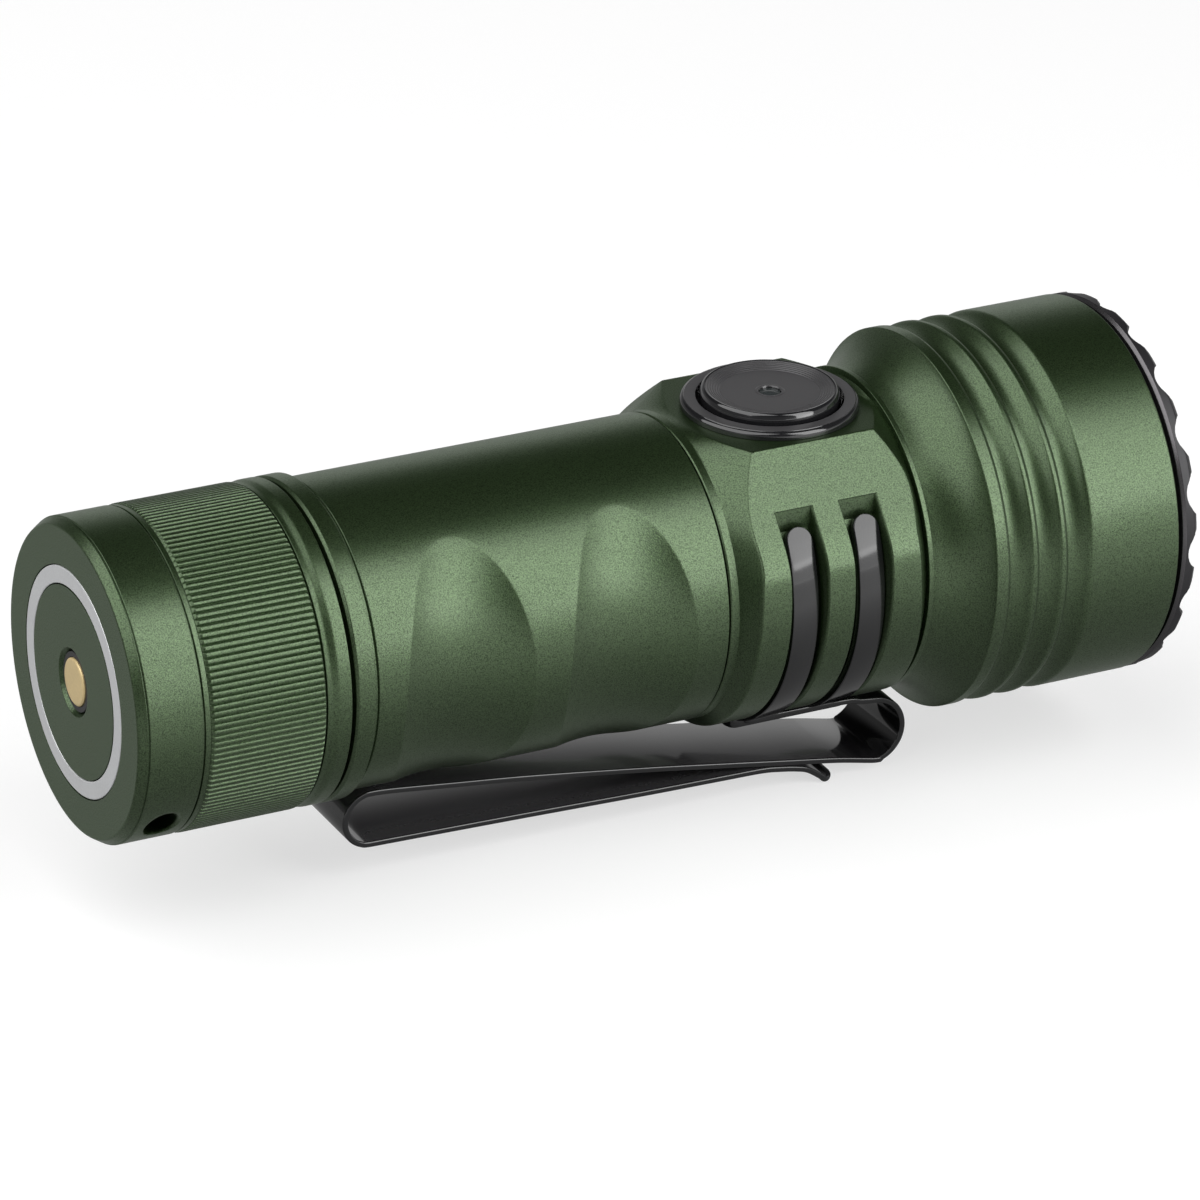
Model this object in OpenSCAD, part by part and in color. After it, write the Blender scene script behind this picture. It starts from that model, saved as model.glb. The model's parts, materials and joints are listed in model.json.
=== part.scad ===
// Pocket flashlight, 92 mm long, with a screwed tail cap, a side switch,
// a two-way spring clip and one 18500 cell.
// X runs from the tail face (X = 0) to the bezel, Z points up through the switch.
// All lengths are millimetres.

/* [Cell] */
// Radius of the cell
cell_r = 9.25; // [9:0.01:9.4]
// Length of the cell's can
cell_len = 48.8; // [46:0.1:52]
// Gap all round the cell in its bore
cell_gap = 0.1; // [0.08:0.01:0.15]

/* [Tail cap] */
// Wall from the cell's bore out to the knurl's crests and the collar
wall = 3.65; // [3.5:0.01:4]
// How far the smooth band of the tail cap lies below the knurl's crests
band_step = 0.05; // [0.03:0.01:0.1]
// Number of grooves in the straight knurl
knurl_teeth = 158; // [120:1:180]
// Depth of each knurl groove
knurl_depth = 0.16; // [0.1:0.01:0.2]
// Where the cap ends and the joint gap begins
cap_end_x = 17.68; // [17.2:0.01:18.4]
// Radius of the lanyard hole that runs across under the tail
lanyard_r = 1.35; // [1:0.05:1.45]
// Inner radius of the charging ring
ring_in_r = 7.79; // [7.7:0.01:8]
// Width of the charging ring
ring_w = 1.42; // [1.2:0.01:1.6]
// Radius of the round tail contact
contact_r = 1.93; // [1.8:0.01:2.1]

/* [Body tube] */
// How far the tube lies below the collar
tube_step = 0.5; // [0.4:0.01:0.6]
// Depth of each finger scallop
scallop_depth = 0.94; // [0.5:0.01:1.2]
// Distance from the cap's end to the first pair of finger scallops
scallop_start = 10.47; // [10:0.01:11]
// Distance between the two pairs of finger scallops
scallop_pitch = 14.2; // [13.5:0.01:15]

/* [Head] */
// How far the head's crests and barrel stand above the collar
head_rise = 2.66; // [2.5:0.01:2.8]
// Length of the smooth barrel behind the bezel
barrel_len = 8.05; // [7.5:0.01:9]
// How far the round part of the switch block stands above the tube
block_rise = 2; // [1.9:0.01:2.1]
// How far the round part of the switch block sits above the axis
block_up = 1.3; // [1.2:0.01:1.4]
// How far the flat top of the switch block lies below the tube's crest
facet_drop = 0.08; // [0.04:0.01:0.2]
// Depth of the grooves between the crests
rib_depth = 0.86; // [0.7:0.01:0.9]
// Number of scallops round the bezel
bezel_scallops = 20; // [16:1:24]
// How far the bezel lies below the barrel
bezel_step = 0.26; // [0.2:0.01:0.35]
// How far the bezel stands out past the barrel
bezel_len = 2; // [1.9:0.01:2.2]
// Thickness of the lens
lens_t = 2; // [1.8:0.05:2.1]

/* [Switch] */
// Radius of the push button
button_r = 5.6; // [5.4:0.01:5.7]
// Clear gap between the button and its flange
button_gap = 0.35; // [0.3:0.01:0.45]
// Width of the flange's top
flange_w = 1.26; // [1.2:0.01:1.4]
// Height of the flange over the flat top
flange_h = 0.72; // [0.6:0.01:0.8]

/* [Clip] */
// Thickness of the spring strip
clip_t = 0.5; // [0.4:0.05:0.6]
// Width of the spring strip
clip_w = 6.4; // [5.5:0.1:7]
// Width of each band that grips the head
band_w = 2.15; // [1.8:0.05:2.4]
// Thickness of the bands
band_t = 0.6; // [0.5:0.05:0.7]

/* [Fits] */
// Gap between the thread tips of the tail cap and the tube
thread_gap = 0.08; // [0.05:0.01:0.1]
// Gap beside pieces that are pressed or glued together
seat_gap = 0.02; // [0.01:0.01:0.03]
// Gap all round the push button's foot and its plunger
slide_gap = 0.1; // [0.08:0.01:0.12]

/* [Hidden] */
$fn = 96;

// radii, outwards from the cell
bore_r = cell_r + cell_gap;
body_r = bore_r + wall;
cap_r = body_r - band_step;
tube_r = body_r - tube_step;
neck_r = body_r - 1.5;
spigot_r = neck_r - 0.3;
mouth_r = neck_r + thread_gap + 0.12;
well_r = neck_r - 0.5;
slot_floor_r = tube_r + 0.35;
band_r = slot_floor_r + 0.15 + band_t;
block_r = tube_r + block_rise;
side_r = tube_r + 1.45;
facet_z = tube_r - facet_drop;

// radii of the head
head_r = body_r + head_rise;
groove_r = head_r - rib_depth;
seat_r = head_r - 1.06;
lens_r = seat_r - 0.15;
bell_bore_r = head_r - 1.86;
bezel_r = head_r - bezel_step;
bezel_in_r = seat_r - 1.6;

// radii of the tail
ring_out_r = ring_in_r + ring_w;
pin_r = (ring_in_r + ring_out_r) / 2;
sleeve_r = contact_r + seat_gap + 0.63;
lanyard_z = 4.65 - body_r;
pocket_r = -lanyard_z - lanyard_r - 0.4;

// stations, forwards from the tail
shelf_x = 5;
knurl_x0 = 6;
knurl_x1 = cap_end_x - 2.18;
cell_x = 7.9;
cell_end_x = cell_x + cell_len;
head_x = cell_end_x - 5.95;
tube_end_x = head_x - 0.15;
scallop_1_x = cap_end_x + scallop_start;
scallop_2_x = scallop_1_x + scallop_pitch;

// stations of the head, counted from its rear edge
slot_1_x = 4.65;
slot_2_x = 10.35;
slot_w = 3.08;
band_1_x = slot_1_x + 0.45;
band_2_x = slot_2_x + 0.68;
switch_x = 9.65;
bay_x = 10.8;
board_x = 9.55;
led_x = 18.75;
focus_x = 21.15;
shoulder_x = 31.1;
barrel_x = shoulder_x + barrel_len;
seat_x = barrel_x - 5.5;
flange_x = seat_x + 1;
lens_x = seat_x + 1.6;
lens_end_x = lens_x + lens_t;

// the reflector is a parabola whose mouth has this radius
mirror_mouth_r = head_r - 2.76;
mirror_len = flange_x - focus_x;
focus = (sqrt(mirror_len * mirror_len + mirror_mouth_r * mirror_mouth_r) - mirror_len) / 2;

// radii of the switch
flange_in_r = button_r + button_gap;
flange_r = flange_in_r + flange_w;
foot_r = button_r + 0.8;
cavity_r = foot_r + slide_gap + 0.1;
floor_h = -2.52;

// a shape drawn along Z, laid along X
module along_x() {
    rotate([0, 90, 0]) children();
}

// a turned shape from [radius, x] points
module turned(pts) {
    along_x() rotate_extrude() polygon(pts);
}

// a plain ring between two stations
module ring(out_r, in_r, x0, x1) {
    turned([[in_r, x0], [out_r, x0], [out_r, x1], [in_r, x1]]);
}

// a round bar along X at a place off the axis
module bar(r, x0, x1, y, z) {
    translate([x0, y, z]) along_x() cylinder(r = r, h = x1 - x0);
}

// a sealing ring
module o_ring(mid_r, wire_r, x) {
    along_x() translate([0, 0, x]) rotate_extrude() translate([mid_r, 0]) circle(r = wire_r, $fn = 32);
}

// places a piece of the head, drawn from the head's rear edge
module in_head() {
    translate([head_x, 0, 0]) children();
}

// thread teeth as [radius, x] points, rising in x
function teeth(base, tip, x0, n, pitch) = [for (i = [0:n - 1]) each [
    [base, x0 + (i + 0.1) * pitch], [tip, x0 + (i + 0.35) * pitch],
    [tip, x0 + (i + 0.65) * pitch], [base, x0 + (i + 0.9) * pitch]]];

// number of teeth that fit before the cap's sealing ring
teeth_x = 9;
teeth_n = max(1, floor(cap_end_x - 3.38 - teeth_x));

// the same points in falling order
function back(p) = [for (i = [len(p) - 1:-1:0]) p[i]];

// points on an arc
function arc(c, r, a0, a1, n) = [for (i = [0:n]) [
    c[0] + r * cos(a0 + (a1 - a0) * i / n), c[1] + r * sin(a0 + (a1 - a0) * i / n)]];

// direction of a path at point i
function way(p, i) = p[min(i + 1, len(p) - 1)] - p[max(i - 1, 0)];

// a strip of thickness t whose middle follows the path
function strip(p, t) = concat(
    [for (i = [0:len(p) - 1]) let (d = way(p, i)) p[i] + [-d[1], d[0]] / norm(d) * t / 2],
    [for (i = [len(p) - 1:-1:0]) let (d = way(p, i)) p[i] - [-d[1], d[0]] / norm(d) * t / 2]);

// inner curve of the reflector at station x
function mirror_r(x) = sqrt(4 * focus * (x - focus_x + focus));

// ---- tail cap ----

module knurl() {
    step = 360 / knurl_teeth;
    pts = [for (i = [0:knurl_teeth - 1]) each [
        [body_r * cos((i - 0.31) * step), body_r * sin((i - 0.31) * step)],
        [body_r * cos((i + 0.31) * step), body_r * sin((i + 0.31) * step)],
        [(body_r - knurl_depth) * cos((i + 0.5) * step), (body_r - knurl_depth) * sin((i + 0.5) * step)]]];
    translate([knurl_x0, 0, 0]) along_x() linear_extrude(knurl_x1 - knurl_x0) difference() {
        polygon(pts);
        circle(r = body_r - 0.8);
    }
}

module tail_cap() {
    color("#465a3c") difference() {
        union() {
            turned(concat(
                [[3, 0], [ring_in_r - seat_gap, 0], [ring_in_r - seat_gap, 0.8],
                [ring_out_r + seat_gap, 0.8], [ring_out_r + seat_gap, 0],
                [cap_r - 0.32, 0], [cap_r - 0.17, 0.2], [cap_r - 0.05, 0.5], [cap_r, 0.84],
                [cap_r, knurl_x0 - 0.76], [cap_r - 0.15, knurl_x0 - 0.72],
                [cap_r - 0.15, knurl_x0 - 0.62], [cap_r - 0.03, knurl_x0 - 0.58],
                [cap_r - 0.05, knurl_x0 - 0.12], [body_r - 0.2, knurl_x0],
                [body_r - 0.2, knurl_x1], [body_r - 0.3, knurl_x1 + 0.02],
                [body_r - 0.3, knurl_x1 + 0.16], [body_r - 0.2, knurl_x1 + 0.18],
                [body_r - 0.18, knurl_x1 + 0.55], [body_r, knurl_x1 + 1.15],
                [body_r, cap_end_x - 0.15], [body_r - 0.15, cap_end_x],
                [mouth_r + 0.2, cap_end_x], [mouth_r, cap_end_x - 0.2]],
                back(teeth(mouth_r, mouth_r - 0.12, teeth_x, teeth_n, 1)),
                [[mouth_r, teeth_x - 1], [well_r, teeth_x - 1.4], [well_r, shelf_x], [pocket_r, shelf_x],
                [pocket_r, 1.6], [sleeve_r + seat_gap, 1.6],
                [sleeve_r + seat_gap, 0.16]]));
            knurl();
        }
        translate([3.05, 0, lanyard_z]) rotate([90, 0, 0]) cylinder(r = lanyard_r, h = 3 * body_r, center = true);
        for (s = [-1, 1]) bar(0.6, 0.5, 6, s * pin_r * cos(30), pin_r * sin(30));
    }
}

module charging_ring() {
    color("#c9ccce") union() {
        turned([[ring_in_r + 0.06, 0], [ring_out_r - 0.06, 0], [ring_out_r, 0.06],
            [ring_out_r, 0.78], [ring_in_r, 0.78], [ring_in_r, 0.06]]);
        for (s = [-1, 1]) bar(0.45, 0.7, shelf_x, s * pin_r * cos(30), pin_r * sin(30));
    }
}

module contact_sleeve() {
    color("#17181a") turned([[contact_r + seat_gap, 0.12], [sleeve_r, 0.12],
        [sleeve_r, shelf_x], [contact_r + seat_gap, shelf_x]]);
}

module tail_contact() {
    color("#cfae72") turned([[0, 0], [contact_r - 0.15, 0], [contact_r, 0.15],
        [contact_r, shelf_x], [0, shelf_x]]);
}

module tail_magnet() {
    color("#a7a9ab") turned([[sleeve_r + 0.12, 1.8], [sleeve_r + 0.3, 1.65],
        [pocket_r - 0.3, 1.65], [pocket_r - 0.1, 1.85], [pocket_r - 0.1, 4.8],
        [pocket_r - 0.3, 4.95], [sleeve_r + 0.3, 4.95], [sleeve_r + 0.12, 4.8]]);
}

module tail_board() {
    color("#2f5d3a") difference() {
        bar(well_r - 0.1, shelf_x + 0.05, 5.85, 0, 0);
        for (s = [-1, 1]) bar(0.7, 4.5, 6.5, 0, s * (well_r - 0.1));
    }
}

module tail_retainer() {
    color("#6d7270") difference() {
        turned([[well_r - 2.4, 5.9], [well_r - 0.05, 5.9], [well_r - 0.05, 7.2],
            [well_r - 0.15, 7.3], [well_r - 2.2, 7.3], [well_r - 2.4, 7.1]]);
        for (s = [-1, 1]) translate([6.9, s * (well_r - 1.2), 0]) cube([1.2, 1.2, 2], center = true);
    }
}

module tail_spring() {
    color("#b9bcbf") union() {
        for (i = [0:3]) o_ring(7 - i * 1.4, 0.3, 6.22 + i * 0.43);
        for (i = [0:2]) rotate([i * 120, 0, 0]) translate([6.22 + i * 0.43, 0, 7 - i * 1.4])
            rotate([0, atan2(0.43, -1.4), 0]) cylinder(r = 0.26, h = norm([1.4, 0.43]), $fn = 24);
    }
}

// ---- body tube ----

module tail_o_ring() {
    color("#141414") o_ring(mouth_r - 0.55, 0.5, cap_end_x - 1.18);
}

module head_o_ring() {
    color("#141414") in_head() o_ring(spigot_r - 0.35, 0.4, 0.95);
}

module scallop(x, side) {
    // a wide ring cutter set to one side, so the cut fades out above and below
    shift = 1.8;
    minor = 17.3;
    inner = tube_r - scallop_depth + shift;
    dir = 101;
    translate([x, side * -shift * sin(dir), -shift * cos(dir)])
        along_x() rotate([0, 0, 180]) rotate_extrude() intersection() {
            translate([inner + minor, 0]) circle(r = minor);
            translate([inner - 1, -7]) square([3.4, 14]);
        }
}

module body_tube() {
    collar_x = cap_end_x + 0.4;
    color("#465a3c") difference() {
        turned(concat(
            [[bore_r + 0.4, 8.5], [neck_r - 0.8, 8.5]],
            [[neck_r - 0.5, 8.8]], teeth(neck_r - 0.5, neck_r, teeth_x, teeth_n, 1),
            [[neck_r - 0.5, collar_x - 3.78], [neck_r, collar_x - 3.48], [neck_r, collar_x - 2.13],
            [mouth_r - 1.08, collar_x - 2.13], [mouth_r - 1.08, collar_x - 1.03],
            [neck_r, collar_x - 1.03], [neck_r, collar_x],
            [body_r - 0.2, collar_x], [body_r, collar_x + 0.2],
            [body_r, collar_x + 1.86], [body_r - 0.08, collar_x + 1.92], [body_r, collar_x + 1.98],
            [body_r, collar_x + 2.32], [body_r - 0.04, collar_x + 2.52], [body_r - 0.14, collar_x + 2.77],
            [body_r - 0.3, collar_x + 2.98], [tube_r, collar_x + 3.17],
            [tube_r, tube_end_x], [spigot_r, tube_end_x], [spigot_r, head_x + 0.45],
            [spigot_r - 0.77, head_x + 0.45], [spigot_r - 0.77, head_x + 1.45],
            [spigot_r, head_x + 1.45], [spigot_r, head_x + 2.05], [spigot_r - 0.2, head_x + 2.25],
            [bore_r, head_x + 2.25], [bore_r, 8.9]]));
        for (x = [scallop_1_x, scallop_2_x]) for (s = [-1, 1]) scallop(x, s);
    }
}

// ---- head ----

module block_section() {
    // seen along X, with the top of the block towards -X of the sheet
    intersection() {
        translate([-block_up, 0]) circle(r = block_r);
        translate([-facet_z, -20]) square([40, 40]);
        for (s = [-1, 1]) rotate(s * 48.5) translate([-side_r, -20]) square([40, 40]);
    }
}

module switch_block() {
    intersection() {
        translate([0.65, 0, 0]) along_x() linear_extrude(17.1) block_section();
        turned([[0, 0.65], [tube_r - 0.2, 0.65], [tube_r - 0.05, 0.75],
            [tube_r + 2.2, 1.75], [tube_r + 4.5, 2.25], [tube_r + 4.5, 15.45],
            [block_r + 0.1, 16], [tube_r + 0.3, 17.65], [tube_r + 0.3, 17.75], [0, 17.75]]);
        translate([0, 0, -3]) turned([[0, -0.75], [facet_z + 3, -0.75], [facet_z + 3, 1.4],
            [facet_z + 8.4, 9.5], [facet_z + 3, 17.6], [facet_z + 3, 19.25], [0, 19.25]]);
    }
}

module bell_profile() {
    cove = 6.03;
    rib_cove = 2.04;
    difference() {
        polygon([[0, 0], [tube_r - 0.1, 0], [tube_r, 0.1], [tube_r, 0.75], [tube_r - 0.05, 0.8],
            [tube_r - 0.2, 0.85], [tube_r - 0.2, 17.55], [tube_r + 0.1, 17.6], [tube_r + 0.1, 17.67],
            [tube_r + 0.25, 17.73], [tube_r + 0.25, 18.35], [head_r + 2.34, 18.35],
            [head_r + 2.34, 22.3], [head_r, 22.3],
            [head_r, 23.3], [head_r - 0.12, 23.55], [groove_r, 23.81], [head_r, 25.67],
            [head_r, 25.93], [head_r - 0.14, 26.2], [groove_r, 26.46], [head_r, 28.31],
            [head_r, 28.59], [head_r - 0.14, 28.87], [groove_r, 29.15], [head_r - 0.1, 30.85],
            [head_r - 0.03, 30.95], [head_r, shoulder_x], [head_r, barrel_x - 0.1],
            [head_r - 0.1, barrel_x], [0, barrel_x]]);
        intersection() {
            translate([tube_r + 6.148, 17.096]) circle(r = cove);
            translate([tube_r - 0.5, 18.35]) square([10, 8]);
        }
        for (x = [23.81, 26.46, 29.15]) intersection() {
            translate([groove_r + rib_cove, x + 0.14]) circle(r = rib_cove);
            translate([groove_r - 0.8, x]) square([4, 2.4]);
        }
    }
}

module head_shell() {
    color("#465a3c") in_head() difference() {
        union() {
            along_x() rotate_extrude() bell_profile();
            switch_block();
        }
        turned([[0, -0.75], [spigot_r + 0.1, -0.75], [spigot_r + 0.1, 2.45], [bore_r, 2.45],
            [bore_r, bay_x], [bore_r - 0.75, bay_x], [bore_r - 0.75, 15.75], [0, 15.75]]);
        turned([[0, led_x], [bore_r + 2.55, led_x], [bore_r + 2.55, led_x + 0.7],
            [bell_bore_r, led_x + 4.7], [bell_bore_r, seat_x],
            [seat_r, seat_x], [seat_r, barrel_x + 1], [0, barrel_x + 1]]);
        on_flat() translate([0, 0, floor_h]) cylinder(r = cavity_r, h = 6);
        translate([14.05, 0, 7]) cylinder(r = 0.8, h = 4);
        for (s = [-1, 1]) bar(0.8, 15.25, 19.25, s * 6.5, 0);
        for (x = [slot_1_x, slot_2_x]) translate([x, 0, 0]) along_x()
            linear_extrude(slot_w) difference() {
                circle(r = 18);
                circle(r = slot_floor_r);
                polygon([[0, 0], [-30, 38.67], [-30, -38.67]]);
            }
    }
}

module bezel() {
    tip = barrel_x + bezel_len;
    color("#1b1c1d") in_head() difference() {
        turned([[bezel_in_r, lens_end_x + 0.5], [seat_r - 0.1, lens_end_x + 0.5],
            [seat_r - 0.1, barrel_x + 0.12], [bezel_r - 0.1, barrel_x + 0.12],
            [bezel_r + 0.15, barrel_x + 0.4], [bezel_r + 0.15, barrel_x + 0.5], [bezel_r, barrel_x + 0.6],
            [bezel_r, tip - 0.8], [bezel_r - 0.45, tip], [bezel_in_r + 0.4, tip],
            [bezel_in_r, tip - 0.7]]);
        for (i = [0:bezel_scallops - 1]) rotate([i * 360 / bezel_scallops, 0, 0])
            translate([tip + 1.05, 0, bezel_in_r - 1]) cylinder(r = 1.6, h = 5);
    }
}

module lens() {
    color([0.85, 0.9, 0.92, 0.35]) in_head() turned([[0, lens_x], [lens_r - 0.15, lens_x],
        [lens_r, lens_x + 0.15], [lens_r, lens_end_x - 0.15], [lens_r - 0.15, lens_end_x],
        [0, lens_end_x]]);
}

module lens_gasket() {
    color("#202020") in_head() ring(lens_r + 0.05, lens_r - 1.25, flange_x + 0.05, lens_x - 0.05);
}

module front_o_ring() {
    color("#202020") in_head() ring(lens_r - 0.05, lens_r - 1.15, lens_end_x + 0.05, lens_end_x + 0.45);
}

module reflector() {
    rim_x = seat_x + 0.05;
    throat_x = focus_x + 1.4;
    step = (flange_x - throat_x) / 9;
    color("#d8dadb") in_head() turned(concat(
        [[3, throat_x - 0.6], [mirror_r(throat_x) + 0.68, throat_x - 0.6]],
        [for (i = [0:8]) [mirror_r(throat_x + i * (step + 0.006)) + 0.7, throat_x + i * (step + 0.006)]],
        [[mirror_r(rim_x) + 0.7, rim_x], [lens_r, rim_x], [lens_r, flange_x]],
        [for (i = [9:-1:0]) [mirror_r(throat_x + i * step), throat_x + i * step]],
        [[3, throat_x]]));
}

module centring_ring() {
    color("#e6e4df") in_head() ring(4.6, 2.6, led_x + 1.65, focus_x + 0.75);
}

module led_base() {
    color("#f2f2ee") in_head() translate([led_x + 1.97, 0, 0]) cube([0.68, 3.5, 3.5], center = true);
}

module led_dome() {
    color("#e8c93a") in_head() translate([led_x + 2.33, 0, 0]) along_x() intersection() {
        sphere(r = 1.25);
        cylinder(r = 2, h = 2);
    }
}

module led_board() {
    color("#e9e9e4") in_head() difference() {
        bar(8, led_x + 0.02, led_x + 1.6, 0, 0);
        for (s = [-1, 1]) bar(0.8, led_x - 0.5, led_x + 2.5, s * 6.5, 0);
    }
}

module lead_positive() {
    color("#a32020") in_head() bar(0.45, board_x + 1.25, led_x + 1.9, 6.5, 0);
}

module lead_negative() {
    color("#151515") in_head() bar(0.45, board_x + 1.25, led_x + 1.9, -6.5, 0);
}

module driver_board() {
    color("#2f5d3a") in_head() bar(bore_r - 0.05, board_x, board_x + 1.2, 0, 0);
}

module driver_ring() {
    color("#6d7270") in_head() turned([[bore_r - 1.35, board_x - 1.65], [bore_r - 0.25, board_x - 1.65],
        [bore_r - 0.05, board_x - 1.4], [bore_r - 0.05, board_x - 0.03], [bore_r - 1.35, board_x - 0.03]]);
}

module front_contact() {
    color("#cfae72") in_head() turned([[0, board_x - 2.3], [1.7, board_x - 2.3],
        [2.2, board_x - 1.9], [2.2, board_x], [0, board_x]]);
}

module driver_coil() {
    color("#2b2b2b") in_head() translate([board_x, 0, -3.6]) turned([[0, 1.23], [2.1, 1.23],
        [2.3, 1.43], [2.3, 3.9], [2.1, 4.1], [0, 4.1]]);
}

module driver_chip() {
    color("#1c1c1c") in_head() translate([board_x + 1.8, 1.5, 3]) cube([1.1, 4, 4.4], center = true);
}

// ---- switch ----

// places a piece of the switch, drawn from the block's flat top
module on_flat() {
    translate([switch_x, 0, facet_z]) children();
}

module switch_flange() {
    color("#5a5d5f") in_head() on_flat() rotate_extrude() polygon([
        [flange_in_r, -1.22], [cavity_r - 0.05, -1.22], [cavity_r - 0.05, seat_gap],
        [flange_r, seat_gap], [flange_r, flange_h - 0.42], [flange_r - 0.07, flange_h - 0.22],
        [flange_r - 0.2, flange_h - 0.08], [flange_r - 0.32, flange_h - 0.04], [flange_r - 0.36, flange_h],
        [flange_in_r + 0.05, flange_h], [flange_in_r, flange_h - 0.04]]);
}

module switch_button() {
    dish = 12;
    top = flange_h + 0.82;
    color("#55585a") in_head() on_flat() rotate_extrude() polygon(concat(
        [[0.9, 0.18], [button_r - 0.7, 0.18], [button_r - 0.7, -1.77], [foot_r, -1.77],
        [foot_r, -1.32], [button_r, -1.32], [button_r, top - 0.36],
        [button_r - 0.06, top - 0.18], [button_r - 0.2, top - 0.04], [button_r - 0.35, top],
        [button_r - 0.5, top - 0.03]],
        [for (i = [0:dish]) [button_r - 0.55 - i * 0.1, top - 0.06 - 0.2 * sin(90 * i / dish) - (i % 2) * 0.03]],
        [[button_r - 1.82, top - 0.33], [1, top - 0.33], [0.9, top - 0.4]]));
}

module indicator_lens() {
    color("#2a2c2e") in_head() on_flat() translate([0, 0, 0.2]) cylinder(r = 0.86, h = flange_h + 0.18);
}

module switch_boot() {
    color("#3a3a3a") in_head() on_flat() translate([0, 0, -0.27]) cylinder(r = button_r - 1, h = 0.43);
}

module tact_plunger() {
    color("#303030") in_head() on_flat() translate([0, 0, -1.44]) cylinder(r = 1.2, h = 1.15);
}

module tact_switch() {
    color("#c4c6c8") in_head() on_flat() difference() {
        translate([-2.6, -2.6, floor_h + 0.53]) cube([5.2, 5.2, 1.05]);
        translate([0, 0, floor_h + 0.53]) cylinder(r = 1.2 + slide_gap, h = 4);
    }
}

module switch_board() {
    color("#2f5d3a") in_head() on_flat() translate([0, 0, floor_h + 0.02]) cylinder(r = button_r - 1, h = 0.48);
}

// ---- clip, drawn from the middle of its bands' underside ----

module under_head() {
    in_head() translate([0, 0, -band_r]) children();
}

// a strip of the clip's width along a path in x and z
module folded(path) {
    under_head() translate([0, clip_w / 2, 0]) rotate([90, 0, 0])
        linear_extrude(clip_w) polygon(strip(path, clip_t));
}

module band(x) {
    in_head() translate([x, 0, 0]) along_x() linear_extrude(band_w) difference() {
        circle(r = band_r);
        circle(r = band_r - band_t);
        polygon([[0, 0], [-30, 44], [-30, -44]]);
    }
}

module clip_base() {
    color("#161718") union() {
        band(band_1_x);
        band(band_2_x);
        under_head() translate([5.15, -clip_w / 2, -0.6]) cube([10.8, clip_w, 0.95]);
        folded(concat([[13.25, 0.05], [15.75, 0], [17.05, -0.25]],
            arc([18.15, -3.2], 2.8, 92, -82, 14),
            [[15, -5.27], [9.85, -4.46], [4.35, -3.57], [-2.85, -2.42],
            [-12.95, -1.02], [-19.95, -0.23], [-26.25, 0.48]],
            arc([-27.08, -1.8], 2.3, 95, 268, 12)));
    }
}

module clip_arm() {
    color("#161718") folded(concat([[-27.03, -4.11], [-20.75, -4.21], [-12.85, -4.35],
        [-2.75, -4.6], [4.45, -4.73], [8.05, -4.82], [9.85, -5.05], [11.25, -5.32], [12.35, -5.65]],
        arc([14.05, -6.3], 0.45, 205, 350, 6)));
}

// ---- cell ----

module cell_can() {
    color("#2e6fa8") turned([[0, cell_x], [cell_r - 0.6, cell_x], [cell_r - 0.15, cell_x + 0.2],
        [cell_r, cell_x + 0.6], [cell_r, cell_end_x - 0.6], [cell_r - 0.2, cell_end_x - 0.1],
        [cell_r - 0.5, cell_end_x], [0, cell_end_x]]);
}

module cell_collar() {
    color("#e8e8e8") ring(cell_r - 0.85, 3.6, cell_end_x + 0.02, cell_end_x + 0.2);
}

module cell_cap() {
    color("#c9ccce") turned([[0, cell_end_x + 0.02], [3.4, cell_end_x + 0.02],
        [3.4, cell_end_x + 0.3], [3, cell_end_x + 0.5],
        [2.9, cell_end_x + 1.15], [2.7, cell_end_x + 1.25], [0, cell_end_x + 1.25]]);
}

tail_cap();
charging_ring();
contact_sleeve();
tail_contact();
tail_magnet();
tail_board();
tail_retainer();
tail_spring();
tail_o_ring();
body_tube();
head_o_ring();
head_shell();
switch_flange();
switch_button();
indicator_lens();
switch_boot();
tact_plunger();
tact_switch();
switch_board();
front_contact();
driver_ring();
driver_board();
driver_coil();
driver_chip();
lead_positive();
lead_negative();
led_board();
led_base();
led_dome();
centring_ring();
reflector();
lens_gasket();
lens();
front_o_ring();
bezel();
clip_base();
clip_arm();
cell_can();
cell_collar();
cell_cap();
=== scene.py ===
"""Pocket flashlight: the finished surfaces, materials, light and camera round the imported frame.

Lengths inside the shape functions are millimetres, as in the part's source, and are turned into
metres when a mesh is made. X runs from the tail to the lens, Z up through the switch, and the angle
of a point round the body is 0 at the switch and 90 degrees on the -Y side.
"""
import json
import math

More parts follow.
